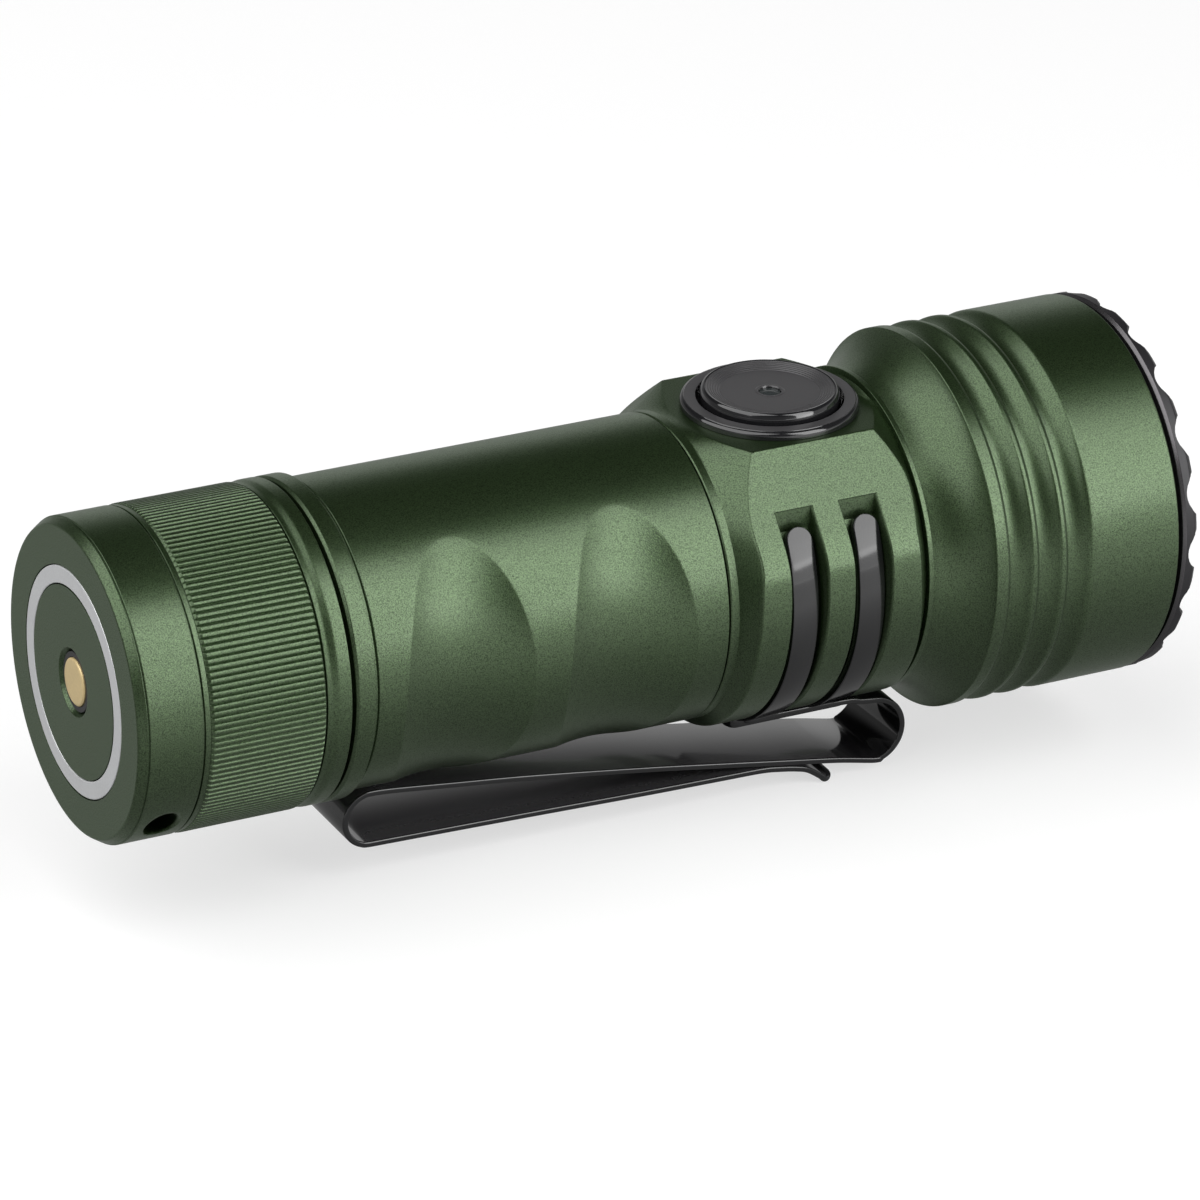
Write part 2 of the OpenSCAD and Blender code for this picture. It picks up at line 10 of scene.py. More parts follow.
import bpy
import numpy as np
from bpy.props import FloatProperty, FloatVectorProperty, IntProperty, PointerProperty
from mathutils import Matrix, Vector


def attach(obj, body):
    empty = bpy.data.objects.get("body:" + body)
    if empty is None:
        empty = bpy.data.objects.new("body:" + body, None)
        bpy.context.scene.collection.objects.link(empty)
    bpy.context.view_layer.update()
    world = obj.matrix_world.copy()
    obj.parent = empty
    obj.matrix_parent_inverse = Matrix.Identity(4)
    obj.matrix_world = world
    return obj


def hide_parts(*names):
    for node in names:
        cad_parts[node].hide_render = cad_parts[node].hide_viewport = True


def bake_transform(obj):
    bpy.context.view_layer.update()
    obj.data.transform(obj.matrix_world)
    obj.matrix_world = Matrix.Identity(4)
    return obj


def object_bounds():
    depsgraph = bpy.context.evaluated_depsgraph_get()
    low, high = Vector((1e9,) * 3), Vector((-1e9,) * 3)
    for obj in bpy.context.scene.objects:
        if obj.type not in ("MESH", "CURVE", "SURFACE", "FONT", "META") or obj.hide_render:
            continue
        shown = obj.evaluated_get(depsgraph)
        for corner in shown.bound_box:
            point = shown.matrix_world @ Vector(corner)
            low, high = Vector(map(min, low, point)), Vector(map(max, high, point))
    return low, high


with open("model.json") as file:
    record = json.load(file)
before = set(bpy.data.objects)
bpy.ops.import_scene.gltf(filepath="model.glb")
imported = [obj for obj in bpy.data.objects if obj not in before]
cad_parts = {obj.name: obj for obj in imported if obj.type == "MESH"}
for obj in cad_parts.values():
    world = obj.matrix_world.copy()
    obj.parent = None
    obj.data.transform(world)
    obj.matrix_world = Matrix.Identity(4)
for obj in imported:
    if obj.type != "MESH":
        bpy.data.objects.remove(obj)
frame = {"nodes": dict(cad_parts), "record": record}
CAD_BOX = [[float(c) for c in corner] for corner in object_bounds()]

bl_info = {
    "name": "Pocket Flashlight",
    "version": (1, 0, 0),
    "blender": (4, 5, 0),
    "location": "3D View > Sidebar > Flashlight",
    "description": "Builds the surfaces, finishes and stage of a pocket flashlight",
    "category": "Object",
}

MM = 0.001
RAD = math.pi / 180
CAP_END = 17.68  # front end of the tail cap
NECK_END = 18.05  # front end of the tube's neck inside the cap
SWITCH_X = 60.4  # station of the switch's axis
SLOTS = ((55.08, 58.45), (60.78, 64.2))  # rear and front walls of the band slots
SLOT_TOP = 52.25  # angle at which the band slots start
BAND_R = 13.3  # radius of the middle of the clip's bands
BAND_TOP = 58  # angle at which the clip's bands start
TAIL_BEND = (23.67, -15.1)  # centre of the clip's fold near the tail
CORNER = 5  # points on each rounded corner of a strip's section


# ---------------------------------------------------------------- sizes and colours


class FlashlightSizes(bpy.types.PropertyGroup):
    """Sizes that shape the visible surfaces"""

    cap_r: FloatProperty(
        name="Tail cap radius", description="Radius of the tail cap's smooth band", default=0.01295,
        unit="LENGTH",
    )
    knurl_r: FloatProperty(
        name="Knurl radius", description="Radius over the knurl's crests", default=0.013, unit="LENGTH",
    )
    knurl_depth: FloatProperty(
        name="Knurl depth", description="Depth of one knurl groove", default=0.00017, unit="LENGTH",
    )
    knurl_teeth: IntProperty(
        name="Knurl teeth", description="Number of grooves round the knurl", default=158, min=60, max=200,
    )
    tube_r: FloatProperty(
        name="Tube radius", description="Radius of the body tube", default=0.0125, unit="LENGTH",
    )
    scallop_depth: FloatProperty(
        name="Scallop depth", description="Depth of the finger scallops", default=0.00094, unit="LENGTH",
    )
    head_r: FloatProperty(
        name="Head radius", description="Radius of the head cylinder and its crests", default=0.01565,
        unit="LENGTH",
    )
    block_r: FloatProperty(
        name="Block radius", description="Radius of the round part of the switch block", default=0.0145,
        unit="LENGTH",
    )
    facet_z: FloatProperty(
        name="Facet height", description="Height of the flat that carries the switch", default=0.01242,
        unit="LENGTH",
    )
    bezel_r: FloatProperty(
        name="Bezel radius", description="Radius of the bezel", default=0.0156, unit="LENGTH",
    )
    bezel_scallops: IntProperty(
        name="Bezel scallops", description="Number of scallops in the bezel's edge", default=20, min=8,
        max=32,
    )
    clip_t: FloatProperty(
        name="Clip thickness", description="Thickness of the spring strip", default=0.0005, unit="LENGTH",
    )
    clip_w: FloatProperty(
        name="Clip width", description="Width of the spring strip", default=0.008, unit="LENGTH",
    )


class FlashlightFinish(bpy.types.PropertyGroup):
    """Colours of the finishes and strength of the light"""

    green: FloatVectorProperty(
        name="Body green", description="Colour of the anodised body", default=(0.034, 0.066, 0.02),
        subtype="COLOR", min=0, max=1,
    )
    black: FloatVectorProperty(
        name="Gloss black", description="Colour of the clip, flange and button",
        default=(0.012, 0.012, 0.013), subtype="COLOR", min=0, max=1,
    )
    grey: FloatVectorProperty(
        name="Switch grey", description="Colour of the switch's satin faces", default=(0.06, 0.059, 0.061),
        subtype="COLOR", min=0, max=1,
    )
    brass: FloatVectorProperty(
        name="Contact brass", description="Colour of the tail contact", default=(0.9, 0.7, 0.36),
        subtype="COLOR", min=0, max=1,
    )
    silver: FloatVectorProperty(
        name="Ring silver", description="Colour of the charging ring", default=(0.8, 0.81, 0.82),
        subtype="COLOR", min=0, max=1,
    )
    key: FloatProperty(
        name="Key light", description="Strength of the main soft light", default=3.0, min=0,
        subtype="POWER",
    )
    fill: FloatProperty(
        name="Fill light", description="Strength of the wide light over the tail", default=5.1, min=0,
        subtype="POWER",
    )
    low: FloatProperty(
        name="Low light", description="Strength of the strip just over the floor", default=0.3, min=0,
        subtype="POWER",
    )


def sizes():
    """The sizes in millimetres"""
    group = bpy.context.scene.flashlight_sizes
    whole = ("knurl_teeth", "bezel_scallops")
    return {k: getattr(group, k) * (1 if k in whole else 1000) for k in FlashlightSizes.__annotations__}


# ---------------------------------------------------------------- meshes


def grid_faces(rows, cols, wrap_rows=False, wrap_cols=True):
    """Quads of a grid: each joins a point to its neighbour round the body, then to the next row."""
    i = np.arange(rows if wrap_rows else rows - 1)
    j = np.arange(cols if wrap_cols else cols - 1)
    a, b = np.meshgrid(i, j, indexing="ij")
    a1, b1 = (a + 1) % rows, (b + 1) % cols
    return np.stack([a * cols + b, a * cols + b1, a1 * cols + b1, a1 * cols + b], -1).reshape(-1, 4)


def polar(x, r, th):
    """Points at station x, radius r and angle th (degrees): (x, -r sin th, r cos th)."""
    x, r, th = np.broadcast_arrays(np.asarray(x, float), r, np.asarray(th, float) * RAD)
    return np.stack([x, -r * np.sin(th), r * np.cos(th)], -1)


def fan(ring, pole, flip=False):
    """Triangles that close a ring of vertices onto one pole vertex."""
    nxt = np.roll(ring, -1)
    tri = np.stack([np.full(len(ring), pole), nxt, ring], -1)
    return tri[:, ::-1] if flip else tri


def make(name, points, face_sets, material, sharp=38.0):
    """Makes a mesh object from points in millimetres and arrays of faces, dropping unused points."""
    points = np.asarray(points, float)
    used = np.unique(np.concatenate([f.ravel() for f in face_sets]))
    remap = np.full(len(points), -1)
    remap[used] = np.arange(len(used))
    faces = [row for f in face_sets for row in remap[f].tolist()]
    mesh = bpy.data.meshes.new(name)
    mesh.from_pydata((points[used] * MM).tolist(), [], faces)
    mesh.update()
    mesh.shade_smooth()
    mesh.set_sharp_from_angle(angle=sharp * RAD)
    mesh.materials.append(material)
    obj = bpy.data.objects.new(name, mesh)
    bpy.context.scene.collection.objects.link(obj)
    return obj


def hoop(name, x, r, th, material, sharp=38.0):
    """A ring closed along its rows and round the body, from grids of stations, radii and angles."""
    points = polar(x, r, th)
    faces = grid_faces(*points.shape[:2], True)
    return make(name, points.reshape(-1, 3), [faces], material, sharp)


def capped(name, points, poles, material, sharp=38.0, flip=False):
    """A tube of rows of points, each row a ring, closed at its two ends onto two poles."""
    rows, cols = points.shape[:2]
    n = rows * cols
    quads = grid_faces(rows, cols)
    sets = [quads[:, ::-1] if flip else quads, fan(np.arange(cols), n, flip)]
    sets.append(fan(n - cols + np.arange(cols), n + 1, not flip))
    return make(name, np.concatenate([points.reshape(-1, 3), poles]), sets, material, sharp)


def places(items, key="co"):
    """The places of a mesh's vertices, or the centres of its faces, in millimetres."""
    flat = np.empty(len(items) * 3)
    items.foreach_get(key, flat)
    return flat.reshape(-1, 3) / MM


def settle(piece, body, slot, *nodes):
    """Hangs a piece on its body and puts it in place of its solids. Its slot is not used."""
    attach(piece, body)
    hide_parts(*nodes)
    return {"FINISHED"}


def rounded(pts, closed=False, seg=5):
    """An outline of (x, r, cut) corners as a smooth (x, r) line.

    Each corner C becomes (1-t)^2 A + 2t(1-t) C + t^2 B, where A and B lie on its two sides at the cut
    length, with one more point just outside each so that the flats beside it stay flat."""
    p = np.asarray(pts, float)
    c, cut = p[:, :2], p[:, 2]
    to_a, to_b = np.roll(c, 1, 0) - c, np.roll(c, -1, 0) - c
    la, lb = (np.maximum(np.linalg.norm(v, axis=1), 1e-9) for v in (to_a, to_b))
    ua, ub = to_a / la[:, None], to_b / lb[:, None]
    # a cut takes at most this share of a side; the outer point lies this far beyond, up to its own share
    most, beyond, last = 0.4, 0.05, 0.46
    ka, kb = np.minimum(cut, most * la), np.minimum(cut, most * lb)
    sa, sb = np.minimum(ka + beyond, last * la), np.minimum(kb + beyond, last * lb)
    a, b = c + ua * ka[:, None], c + ub * kb[:, None]
    t = np.linspace(0, 1, seg)[None, :, None]
    arc = (1 - t) ** 2 * a[:, None] + 2 * t * (1 - t) * c[:, None] + t ** 2 * b[:, None]
    line = np.concatenate([(c + ua * sa[:, None])[:, None], arc, (c + ub * sb[:, None])[:, None]], 1)
    plain = cut <= 0
    line[plain] = c[plain, None]
    if not closed:
        line[0], line[-1] = c[0], c[-1]
    line = line.reshape(-1, 2)
    keep = np.linalg.norm(line - np.roll(line, 1, 0), axis=1) > 1e-5
    keep[0] |= not closed
    return line[keep]


def swing(centre, radius, a0, a1, n):
    """Points (x, r, 0) of an arc below its centre: x = cx + R sin s, r = cr - R cos s, s in degrees."""
    s = np.linspace(a0, a1, n) * RAD
    x, r = centre[0] + radius * np.sin(s), centre[1] - radius * np.cos(s)
    return np.stack([x, r, np.zeros(n)], -1).tolist()


def lathe(name, line, material, cols=180, closed=True, sharp=38.0):
    """A turned piece: the (x, r) line carried round the X axis. An open line starts and ends on the
    axis and is closed there by poles."""
    line = np.asarray(line, float)[:, :2]
    th = np.arange(cols) * 360.0 / cols
    if closed:
        return hoop(name, line[:, :1], line[:, 1:], th[None], material, sharp)
    mid = line[1:-1]
    pts = polar(mid[:, :1], mid[:, 1:], th[None])
    return capped(name, pts, [[line[0, 0], 0, 0], [line[-1, 0], 0, 0]], material, sharp)


def upright(obj, x0):
    """Turns a lathe made round X into one round Z at station x0, in the mesh itself."""
    co = places(obj.data.vertices)
    turned = np.stack([x0 - co[:, 2], co[:, 1], co[:, 0]], -1) * MM
    obj.data.vertices.foreach_set("co", turned.ravel())
    obj.data.update()
    return obj


def ramp(v, k):
    """Smooth max(v, 0): zero below -k, v above k, and a parabola between."""
    return np.where(v > k, v, np.where(v < -k, 0.0, (v + k) ** 2 / (4 * k)))


def soft_min(a, b, k):
    """The smaller of two heights, rounded where they are within k of each other."""
    return np.minimum(a, b) - np.maximum(k - np.abs(a - b), 0) ** 2 / (4 * k)


def soft_max(a, b, k):
    """The larger of two heights, rounded where they are within k of each other."""
    return -soft_min(-a, -b, k)


def window(rows, cols, i0, i1, j0, j1):
    """Indexes round a window of the grid, in order, and a mask of the faces inside it.

    i0..i1 are rows and j0..j1 columns, which may be negative and wrap round."""
    js, up = np.arange(j0, j1), np.arange(i0, i1)
    loop_i = np.concatenate([np.full(len(js), i0), up, np.full(len(js), i1), up[::-1] + 1])
    loop_j = np.concatenate([js, np.full(len(up), j1), js[::-1] + 1, np.full(len(up), j0)])
    inside = np.zeros((rows, cols), bool)
    inside[i0:i1, np.arange(j0, j1) % cols] = True
    return loop_i, loop_j, inside


def stitch(rings, flip=False):
    """Quads between neighbouring rings of vertex numbers, each ring closed."""
    a = np.stack([np.asarray(r) for r in rings])
    p, q = a[:-1], a[1:]
    quads = np.stack([p, np.roll(p, -1, 1), np.roll(q, -1, 1), q], -1).reshape(-1, 4)
    return quads[:, ::-1] if flip else quads


def to_circle(flat, centre, radii, spread):
    """Rings that shrink from a loop of 2-D points onto circles about centre.

    spread gives the shares of the way to the first circle; each later radius is a circle of its own."""
    d = flat - centre
    unit = d / np.linalg.norm(d, axis=1)[:, None]
    first = centre + unit * radii[0]
    rings = [flat + (first - flat) * s for s in spread]
    return rings + [centre + unit * r for r in radii[1:]]


# ---------------------------------------------------------------- materials


def put(tree, target, inputs):
    """Fills a node's inputs: a socket is linked, and anything else is set as a plain value."""
    for key, value in dict(inputs).items():
        if isinstance(value, bpy.types.NodeSocket):
            tree.links.new(value, target.inputs[key])
        else:
            target.inputs[key].default_value = value


def node(tree, kind, inputs=(), **settings):
    """A new shader node with its settings, then its inputs."""
    new = tree.nodes.new("ShaderNode" + kind)
    for key, value in settings.items():
        setattr(new, key, value)
    put(tree, new, inputs)
    return new


def maths(tree, operation, *values, clamp=False):
    """The result of one Math node."""
    return node(tree, "Math", enumerate(values), operation=operation, use_clamp=clamp).outputs[0]


def ranged(tree, value, start, end, low, high, smooth=False):
    """The value carried from start..end to low..high, along a straight line or a smooth step."""
    inputs = {"Value": value, "From Min": start, "From Max": end, "To Min": low, "To Max": high}
    kind = "SMOOTHSTEP" if smooth else "LINEAR"
    return node(tree, "MapRange", inputs, interpolation_type=kind).outputs["Result"]


# inputs of the grain group, with the values they start from
GRAIN = {
    "Grain Scale": 5000.0, "Grain Tone": 0.2, "Cloud Scale": 160.0, "Cloud Tone": 0.1, "Roughness": 0.4,
    "Roughness Spread": 0.06,
}


def grain_group():
    """Shader group of a blasted surface: fine grain plus slow variation, as a colour, a tone, a
    roughness and a height."""
    group = bpy.data.node_groups.new("blasted grain", "ShaderNodeTree")
    face = group.interface
    for name, value in GRAIN.items():
        face.new_socket(name, in_out="INPUT", socket_type="NodeSocketFloat").default_value = value
    face.new_socket("Colour", in_out="INPUT", socket_type="NodeSocketColor")
    face.new_socket("Colour", in_out="OUTPUT", socket_type="NodeSocketColor")
    for name in ("Tone", "Roughness", "Height"):
        face.new_socket(name, in_out="OUTPUT", socket_type="NodeSocketFloat")
    given = group.nodes.new("NodeGroupInput").outputs
    place = node(group, "TexCoord").outputs["Object"]
    fine, cloud = (
        node(group, "TexNoise", {"Vector": place, "Scale": given[scale], "Detail": detail}).outputs["Fac"]
        for scale, detail in (("Grain Scale", 1.5), ("Cloud Scale", 3.0))
    )
    speck, drift = (maths(group, "SUBTRACT", noise, 0.5) for noise in (fine, cloud))
    tone = maths(group, "MULTIPLY_ADD", speck, given["Grain Tone"], 1.0)
    tone = maths(group, "MULTIPLY_ADD", drift, given["Cloud Tone"], tone)
    rough = maths(group, "MULTIPLY_ADD", drift, given["Roughness Spread"], given["Roughness"])
    inputs = {"Factor": 1.0, "A": given["Colour"], "B": tone}
    mix = node(group, "Mix", inputs, data_type="RGBA", blend_type="MULTIPLY")
    results = {"Colour": mix.outputs["Result"], "Tone": tone, "Roughness": rough, "Height": fine}
    put(group, group.nodes.new("NodeGroupOutput"), results)
    return group


# what a finish has unless it says otherwise: scale and strength of the grain and of the slow clouds,
# spread of the roughness, bump and its depth, clear coat, reflectance and its tint, and glass
PLAIN = dict(
    grain=5000, tone=0.2, cloud=160, clouds=0.1, spread=0.06, bump=0.1, depth=0.00001, coat=0,
    coat_rough=0.1, specular=0.5, edge=(1, 1, 1), glass=0,
)
FINE_BLACK = dict(grain=2500, tone=0.15, cloud=300, clouds=0.2, spread=0.04, bump=0.03)
BEZEL_BLACK = dict(grain=3500, cloud=260, clouds=0.2, spread=0.05)
# colour, or the property that holds it; metallic; roughness; and what differs from PLAIN
FINISHES = {
    "anodised green": ("green", 0.82, 0.33, dict(
        grain=9500, tone=2.2, cloud=120, clouds=0.08, spread=0.04, bump=1, depth=0.00002, coat=0.9,
        coat_rough=0.33, edge=(0.6, 0.75, 0.55))),
    "gloss black": ("black", 0, 0.1, dict(FINE_BLACK, coat=0.6, coat_rough=0.06)),
    "semi gloss black": ("black", 0, 0.11, dict(FINE_BLACK, coat=0.35, coat_rough=0.09, specular=0.42)),
    # painted sheen: a lighter grey for the clip's flat faces, standing in for the light on them
    "clip face painted sheen": ((0.05, 0.049, 0.051), 0, 0.14, dict(
        grain=4000, tone=0.12, cloud=260, spread=0.02, bump=0.04, coat=0.5, coat_rough=0.14)),
    "satin dark grey": ("grey", 0.2, 0.33, dict(tone=0.15, cloud=260, clouds=0.08, spread=0.04, bump=0.15)),
    "black anodised bezel": ((0.018, 0.017, 0.019), 0.2, 0.4, BEZEL_BLACK),
    # painted highlight: a lighter metal for the bezel's back chamfer, standing in for its bright stripe
    "bezel chamfer highlight": ((0.12, 0.115, 0.12), 0.9, 0.26, BEZEL_BLACK),
    "satin nickel": ("silver", 0.45, 0.38, dict(grain=4000, tone=0.1, cloud=300, bump=0.08)),
    "satin brass": ("brass", 0.45, 0.36, dict(grain=4000, tone=0.12, cloud=300, clouds=0.15, bump=0.08)),
    "black sleeve": ((0.02, 0.02, 0.021), 0, 0.42, dict(grain=3000)),
    "mirror coat": ((0.9, 0.91, 0.92), 1, 0.06, dict(
        grain=900, tone=0.02, clouds=0.02, spread=0.02, bump=0.02)),
    "smoked lens": ((0.03, 0.035, 0.035), 0, 0.15, dict(tone=0.1, bump=0)),
    "lens glass": ((0.97, 0.99, 1), 0, 0.03, dict(tone=0, clouds=0.02, spread=0.01, bump=0, glass=1)),
    "black rubber": ((0.018, 0.018, 0.018), 0, 0.6, dict(grain=2500, tone=0.3, bump=0.2)),
    "board green": ((0.02, 0.09, 0.035), 0, 0.35, dict(
        grain=1800, tone=0.25, cloud=400, clouds=0.3, coat=0.2)),
    "plain steel": ((0.5, 0.5, 0.51), 0.95, 0.3, dict(grain=3000, tone=0.15, bump=0.08)),
    "white plastic": ((0.8, 0.8, 0.77), 0, 0.45, dict(grain=2200, tone=0.06, bump=0.08)),
    "white board": ((0.78, 0.78, 0.75), 0, 0.4, dict(grain=2200, tone=0.06, bump=0.06)),
    "phosphor": ((0.85, 0.62, 0.08), 0, 0.25, dict(grain=2600, tone=0.15, bump=0.05, coat=0.5)),
    "cell wrap": ((0.02, 0.13, 0.32), 0, 0.3, dict(grain=1500, tone=0.1, bump=0.05, coat=0.4)),
    "red wire": ((0.45, 0.02, 0.02), 0, 0.45, dict(grain=2500, tone=0.1, bump=0.05)),
}
# the finish of each slot that an inner piece can have
SLOT_FINISHES = {
    "green_aluminium": "anodised green", "bezel_black": "gloss black", "black_metal": "gloss black",
    "button_rubber": "gloss black", "grey_metal": "satin dark grey", "silver": "satin nickel",
    "brass": "satin brass", "mirror": "mirror coat", "glass": "lens glass", "rubber": "black rubber",
    "board": "board green", "board_white": "white board", "plastic_black": "black sleeve",
    "plastic_white": "white plastic", "steel": "plain steel", "phosphor": "phosphor",
    "cell_wrap": "cell wrap", "red_wire": "red wire",
}


def finish(name):
    """A finish from the table, made once: the grain group drives its colour, its roughness and a small
    bump, and on a strong grain the share of clear coat too."""
    found = bpy.data.materials.get(name)
    if found:
        return found
    colour, metallic, rough, other = FINISHES[name]
    look = {**PLAIN, **other}
    if isinstance(colour, str):
        colour = getattr(bpy.context.scene.flashlight_finish, colour)
    mat = bpy.data.materials.new(name)
    mat.use_nodes = True
    mat.diffuse_color = (*colour, 1)
    tree = mat.node_tree
    bsdf = tree.nodes["Principled BSDF"]
    values = (look["grain"], look["tone"], look["cloud"], look["clouds"], rough, look["spread"])
    inputs = {**dict(zip(GRAIN, values)), "Colour": (*colour, 1)}
    group = bpy.data.node_groups.get("blasted grain") or grain_group()
    grain = node(tree, "Group", node_tree=group)
    put(tree, grain, inputs)
    put(tree, bsdf, {
        "Base Color": grain.outputs["Colour"], "Roughness": grain.outputs["Roughness"],
        "Metallic": metallic, "Specular IOR Level": look["specular"], "Specular Tint": (*look["edge"], 1),
        "Coat Weight": look["coat"], "Coat Roughness": look["coat_rough"],
        "Transmission Weight": look["glass"],
    })
    if look["bump"]:
        inputs = {"Strength": look["bump"], "Distance": look["depth"], "Height": grain.outputs["Height"]}
        put(tree, bsdf, {"Normal": node(tree, "Bump", inputs).outputs["Normal"]})
    if look["coat"] and look["tone"] > 1:
        share = maths(tree, "MULTIPLY", grain.outputs["Tone"], look["coat"], clamp=True)
        put(tree, bsdf, {"Coat Weight": share})
    return mat


# ---------------------------------------------------------------- tail


def tail_line(s):
    """Outline of the tail cap in half section, as (x, r, cut) corners, from the rim round and back."""
    c, k = s["cap_r"], s["knurl_r"]
    return [
        (0.45, 2.46, 0.03), (0, 2.78, 0.04), (0, 7.7, 0.02), (0.8, 7.7, 0), (0.8, 9.3, 0), (0, 9.3, 0.02),
        (0, 12.4, 0.13), (0.7, c - 0.1, 0.04), (0.73, c - 0.15, 0.01), (0.79, c - 0.15, 0.01),
        (0.84, c, 0.05), (5.24, c, 0.04), (5.28, c - 0.2, 0.02), (5.38, c - 0.2, 0.02),
        (5.42, c - 0.03, 0.04), (5.86, c - 0.05, 0.04), (5.98, 12.55, 0), (6.0, 12.3, 0), (15.5, 12.3, 0), (15.52, 12.6, 0.02),
        (15.64, 12.6, 0.02), (15.68, c - 0.12, 0.04), (16.07, c - 0.1, 0.1), (16.62, k, 0.12),
        (CAP_END - 0.04, k, 0.03), (CAP_END, k - 0.06, 0.02), (CAP_END, 11.7, 0.03), (8, 11.7, 0),
        (7.6, 11.0, 0), (5, 11.0, 0), (5, 6.6, 0), (1.6, 6.6, 0), (1.6, 2.46, 0),
    ]


class FLASHLIGHT_OT_tail_cap(bpy.types.Operator):
    """Builds the tail cap's turned shell with its lanyard hole"""

    bl_idname = "flashlight.tail_cap"
    bl_label = "Tail cap"

    def execute(self, context):
        s = sizes()
        line = rounded(tail_line(s), True)
        # the smooth band gets even rows, so that a window can be cut in it
        cap_r, cols, count = s["cap_r"], 192, 12
        a = int(np.argmax((line[:, 0] > 1.0) & (line[:, 1] > 12.9)))
        band = np.stack([np.linspace(1.12, 5.1, count), np.full(count, cap_r)], -1)
        before = line[:a][(line[:a, 0] < 1.1) | (line[:a, 1] < 12)]
        after = line[a:][~((line[a:, 0] < 5.12) & (line[a:, 1] > 12.9))]
        line = np.concatenate([before, band, after])
        rows, top = len(line), len(before)
        th = np.arange(cols) * 360 / cols
        pts = polar(line[:, :1], line[:, 1:2], th[None]).reshape(-1, 3)
        # the lanyard hole runs across from a window near the bottom of each side
        hole, hole_r = np.array([3.05, -8.35]), 1.32
        loop_i, loop_j, near = window(rows, cols, top, top + count - 1, 62, 77)
        far = np.zeros_like(near)
        far[:, (cols - 1 - np.arange(cols)) % cols] = near
        faces = grid_faces(rows, cols, True)
        faces = faces[~(near | far).ravel()]
        ids_near = loop_i * cols + loop_j % cols
        ids_far = loop_i * cols + (cols - loop_j) % cols
        radii = [hole_r + 0.2, hole_r + 0.14, hole_r + 0.02, hole_r - 0.02, hole_r - 0.02]
        rings = to_circle(pts[ids_near][:, [0, 2]], hole, radii, [0.3, 0.6, 0.85, 1.0])
        # how far each ring lies below the cap's surface: a soft rim, then the bore
        sink = [0, 0, 0, 0, 0.05, 0.3, 0.5, 2.5]
        layers = []
        for ring, down in zip(rings, sink):
            y = -np.sqrt(np.maximum(cap_r ** 2 - ring[:, 1] ** 2, 0)) + down
            layers.append(np.stack([ring[:, 0], y, ring[:, 1]], -1))
        n, depth = len(ids_near), len(layers)
        levels = [len(pts) + k * n + np.arange(n) for k in range(2 * depth)]
        near_ids, far_ids = [ids_near] + levels[:depth], [ids_far] + levels[depth:]
        mirror = np.array([1, -1, 1])
        pts = np.concatenate([pts] + layers + [v * mirror for v in layers])
        sets = [faces, stitch(near_ids), stitch(far_ids, True), stitch([near_ids[-1], far_ids[-1]])]
        cap = make("tail_cap_shell", pts, sets, finish("anodised green"))
        return settle(cap, "tail", "green_aluminium", "tail_cap")


class FLASHLIGHT_OT_knurl(bpy.types.Operator):
    """Builds the straight knurl: a ring whose radius is the lower of the teeth and of the end chamfers"""

    bl_idname = "flashlight.knurl"
    bl_label = "Knurl"

    def execute(self, context):
        s = sizes()
        teeth, depth, k = s["knurl_teeth"], s["knurl_depth"], s["knurl_r"]
        # one tooth: places across it as shares of its pitch, and how deep each lies
        u = np.array([-0.41, -0.34, -0.26, 0.0, 0.26, 0.34, 0.41, 0.5])
        h = np.array([0.8, 0.25, 0.05, 0.0, 0.05, 0.25, 0.8, 1.0]) * depth
        th = ((np.arange(teeth)[:, None] + u) * 360 / teeth).ravel()
        top = k - np.tile(h, teeth)
        # each row is the lower of the tooth and of the chamfer at the ring's end
        x = np.array([5.9, 5.96, 6.02, 6.08, 6.14, 6.2, 6.26, 6.4, 10.75, 15.3, 15.42, 15.47, 15.5])
        rise = 12.84 + (x - 5.88) * 0.62
        fall = k - np.clip((x - 15.4) / 0.1, 0, 1) ** 2 * 0.1
        r = soft_min(np.minimum(rise, fall)[:, None], top[None], 0.03)
        xs = np.concatenate([x, [15.5, 5.9]])
        r = np.concatenate([r, np.full((2, r.shape[1]), 12.15)])
        ring = hoop("tail_cap_knurl", xs[:, None], r, th[None], finish("anodised green"))
        return settle(ring, "tail", "green_aluminium", "tail_cap")


class FLASHLIGHT_OT_tail_contacts(bpy.types.Operator):
    """Builds the charging ring, the insulating sleeve and the round contact"""

    bl_idname = "flashlight.tail_contacts"
    bl_label = "Tail contacts"

    def execute(self, context):
        ring = rounded([(0, 7.79, 0.09), (0.78, 7.79, 0), (0.78, 9.21, 0), (0, 9.21, 0.09)], True)
        ring = lathe("tail_ring", ring[::-1], finish("satin nickel"))
        sleeve = rounded([(0.22, 1.98, 0.03), (5, 1.98, 0), (5, 2.42, 0), (0.22, 2.42, 0.05)], True)
        sleeve = lathe("tail_sleeve", sleeve[::-1], finish("black sleeve"), 128)
        pin = rounded([
            (0.03, 0, 0), (0.02, 1.2, 0.3), (0.04, 1.78, 0.06), (0.14, 1.93, 0.04), (5, 1.93, 0), (5, 0, 0),
        ])
        pin = lathe("tail_pin", pin, finish("satin brass"), 128, closed=False)
        settle(ring, "tail", "silver", "charging_ring")
        settle(sleeve, "tail", "plastic_black", "contact_sleeve")
        return settle(pin, "tail", "brass", "tail_contact")


# ---------------------------------------------------------------- body tube


def around(extra, step=2.0):
    """Angles from 0 to 360 degrees: even steps plus the extra angles and their mirror images."""
    extra = np.asarray(extra, float)
    th = np.concatenate([np.arange(0, 360, step), extra, 360 - extra]) % 360
    th = np.unique(np.round(th, 4))
    far = np.concatenate([[True], np.diff(th) > 0.045])
    return th[far]


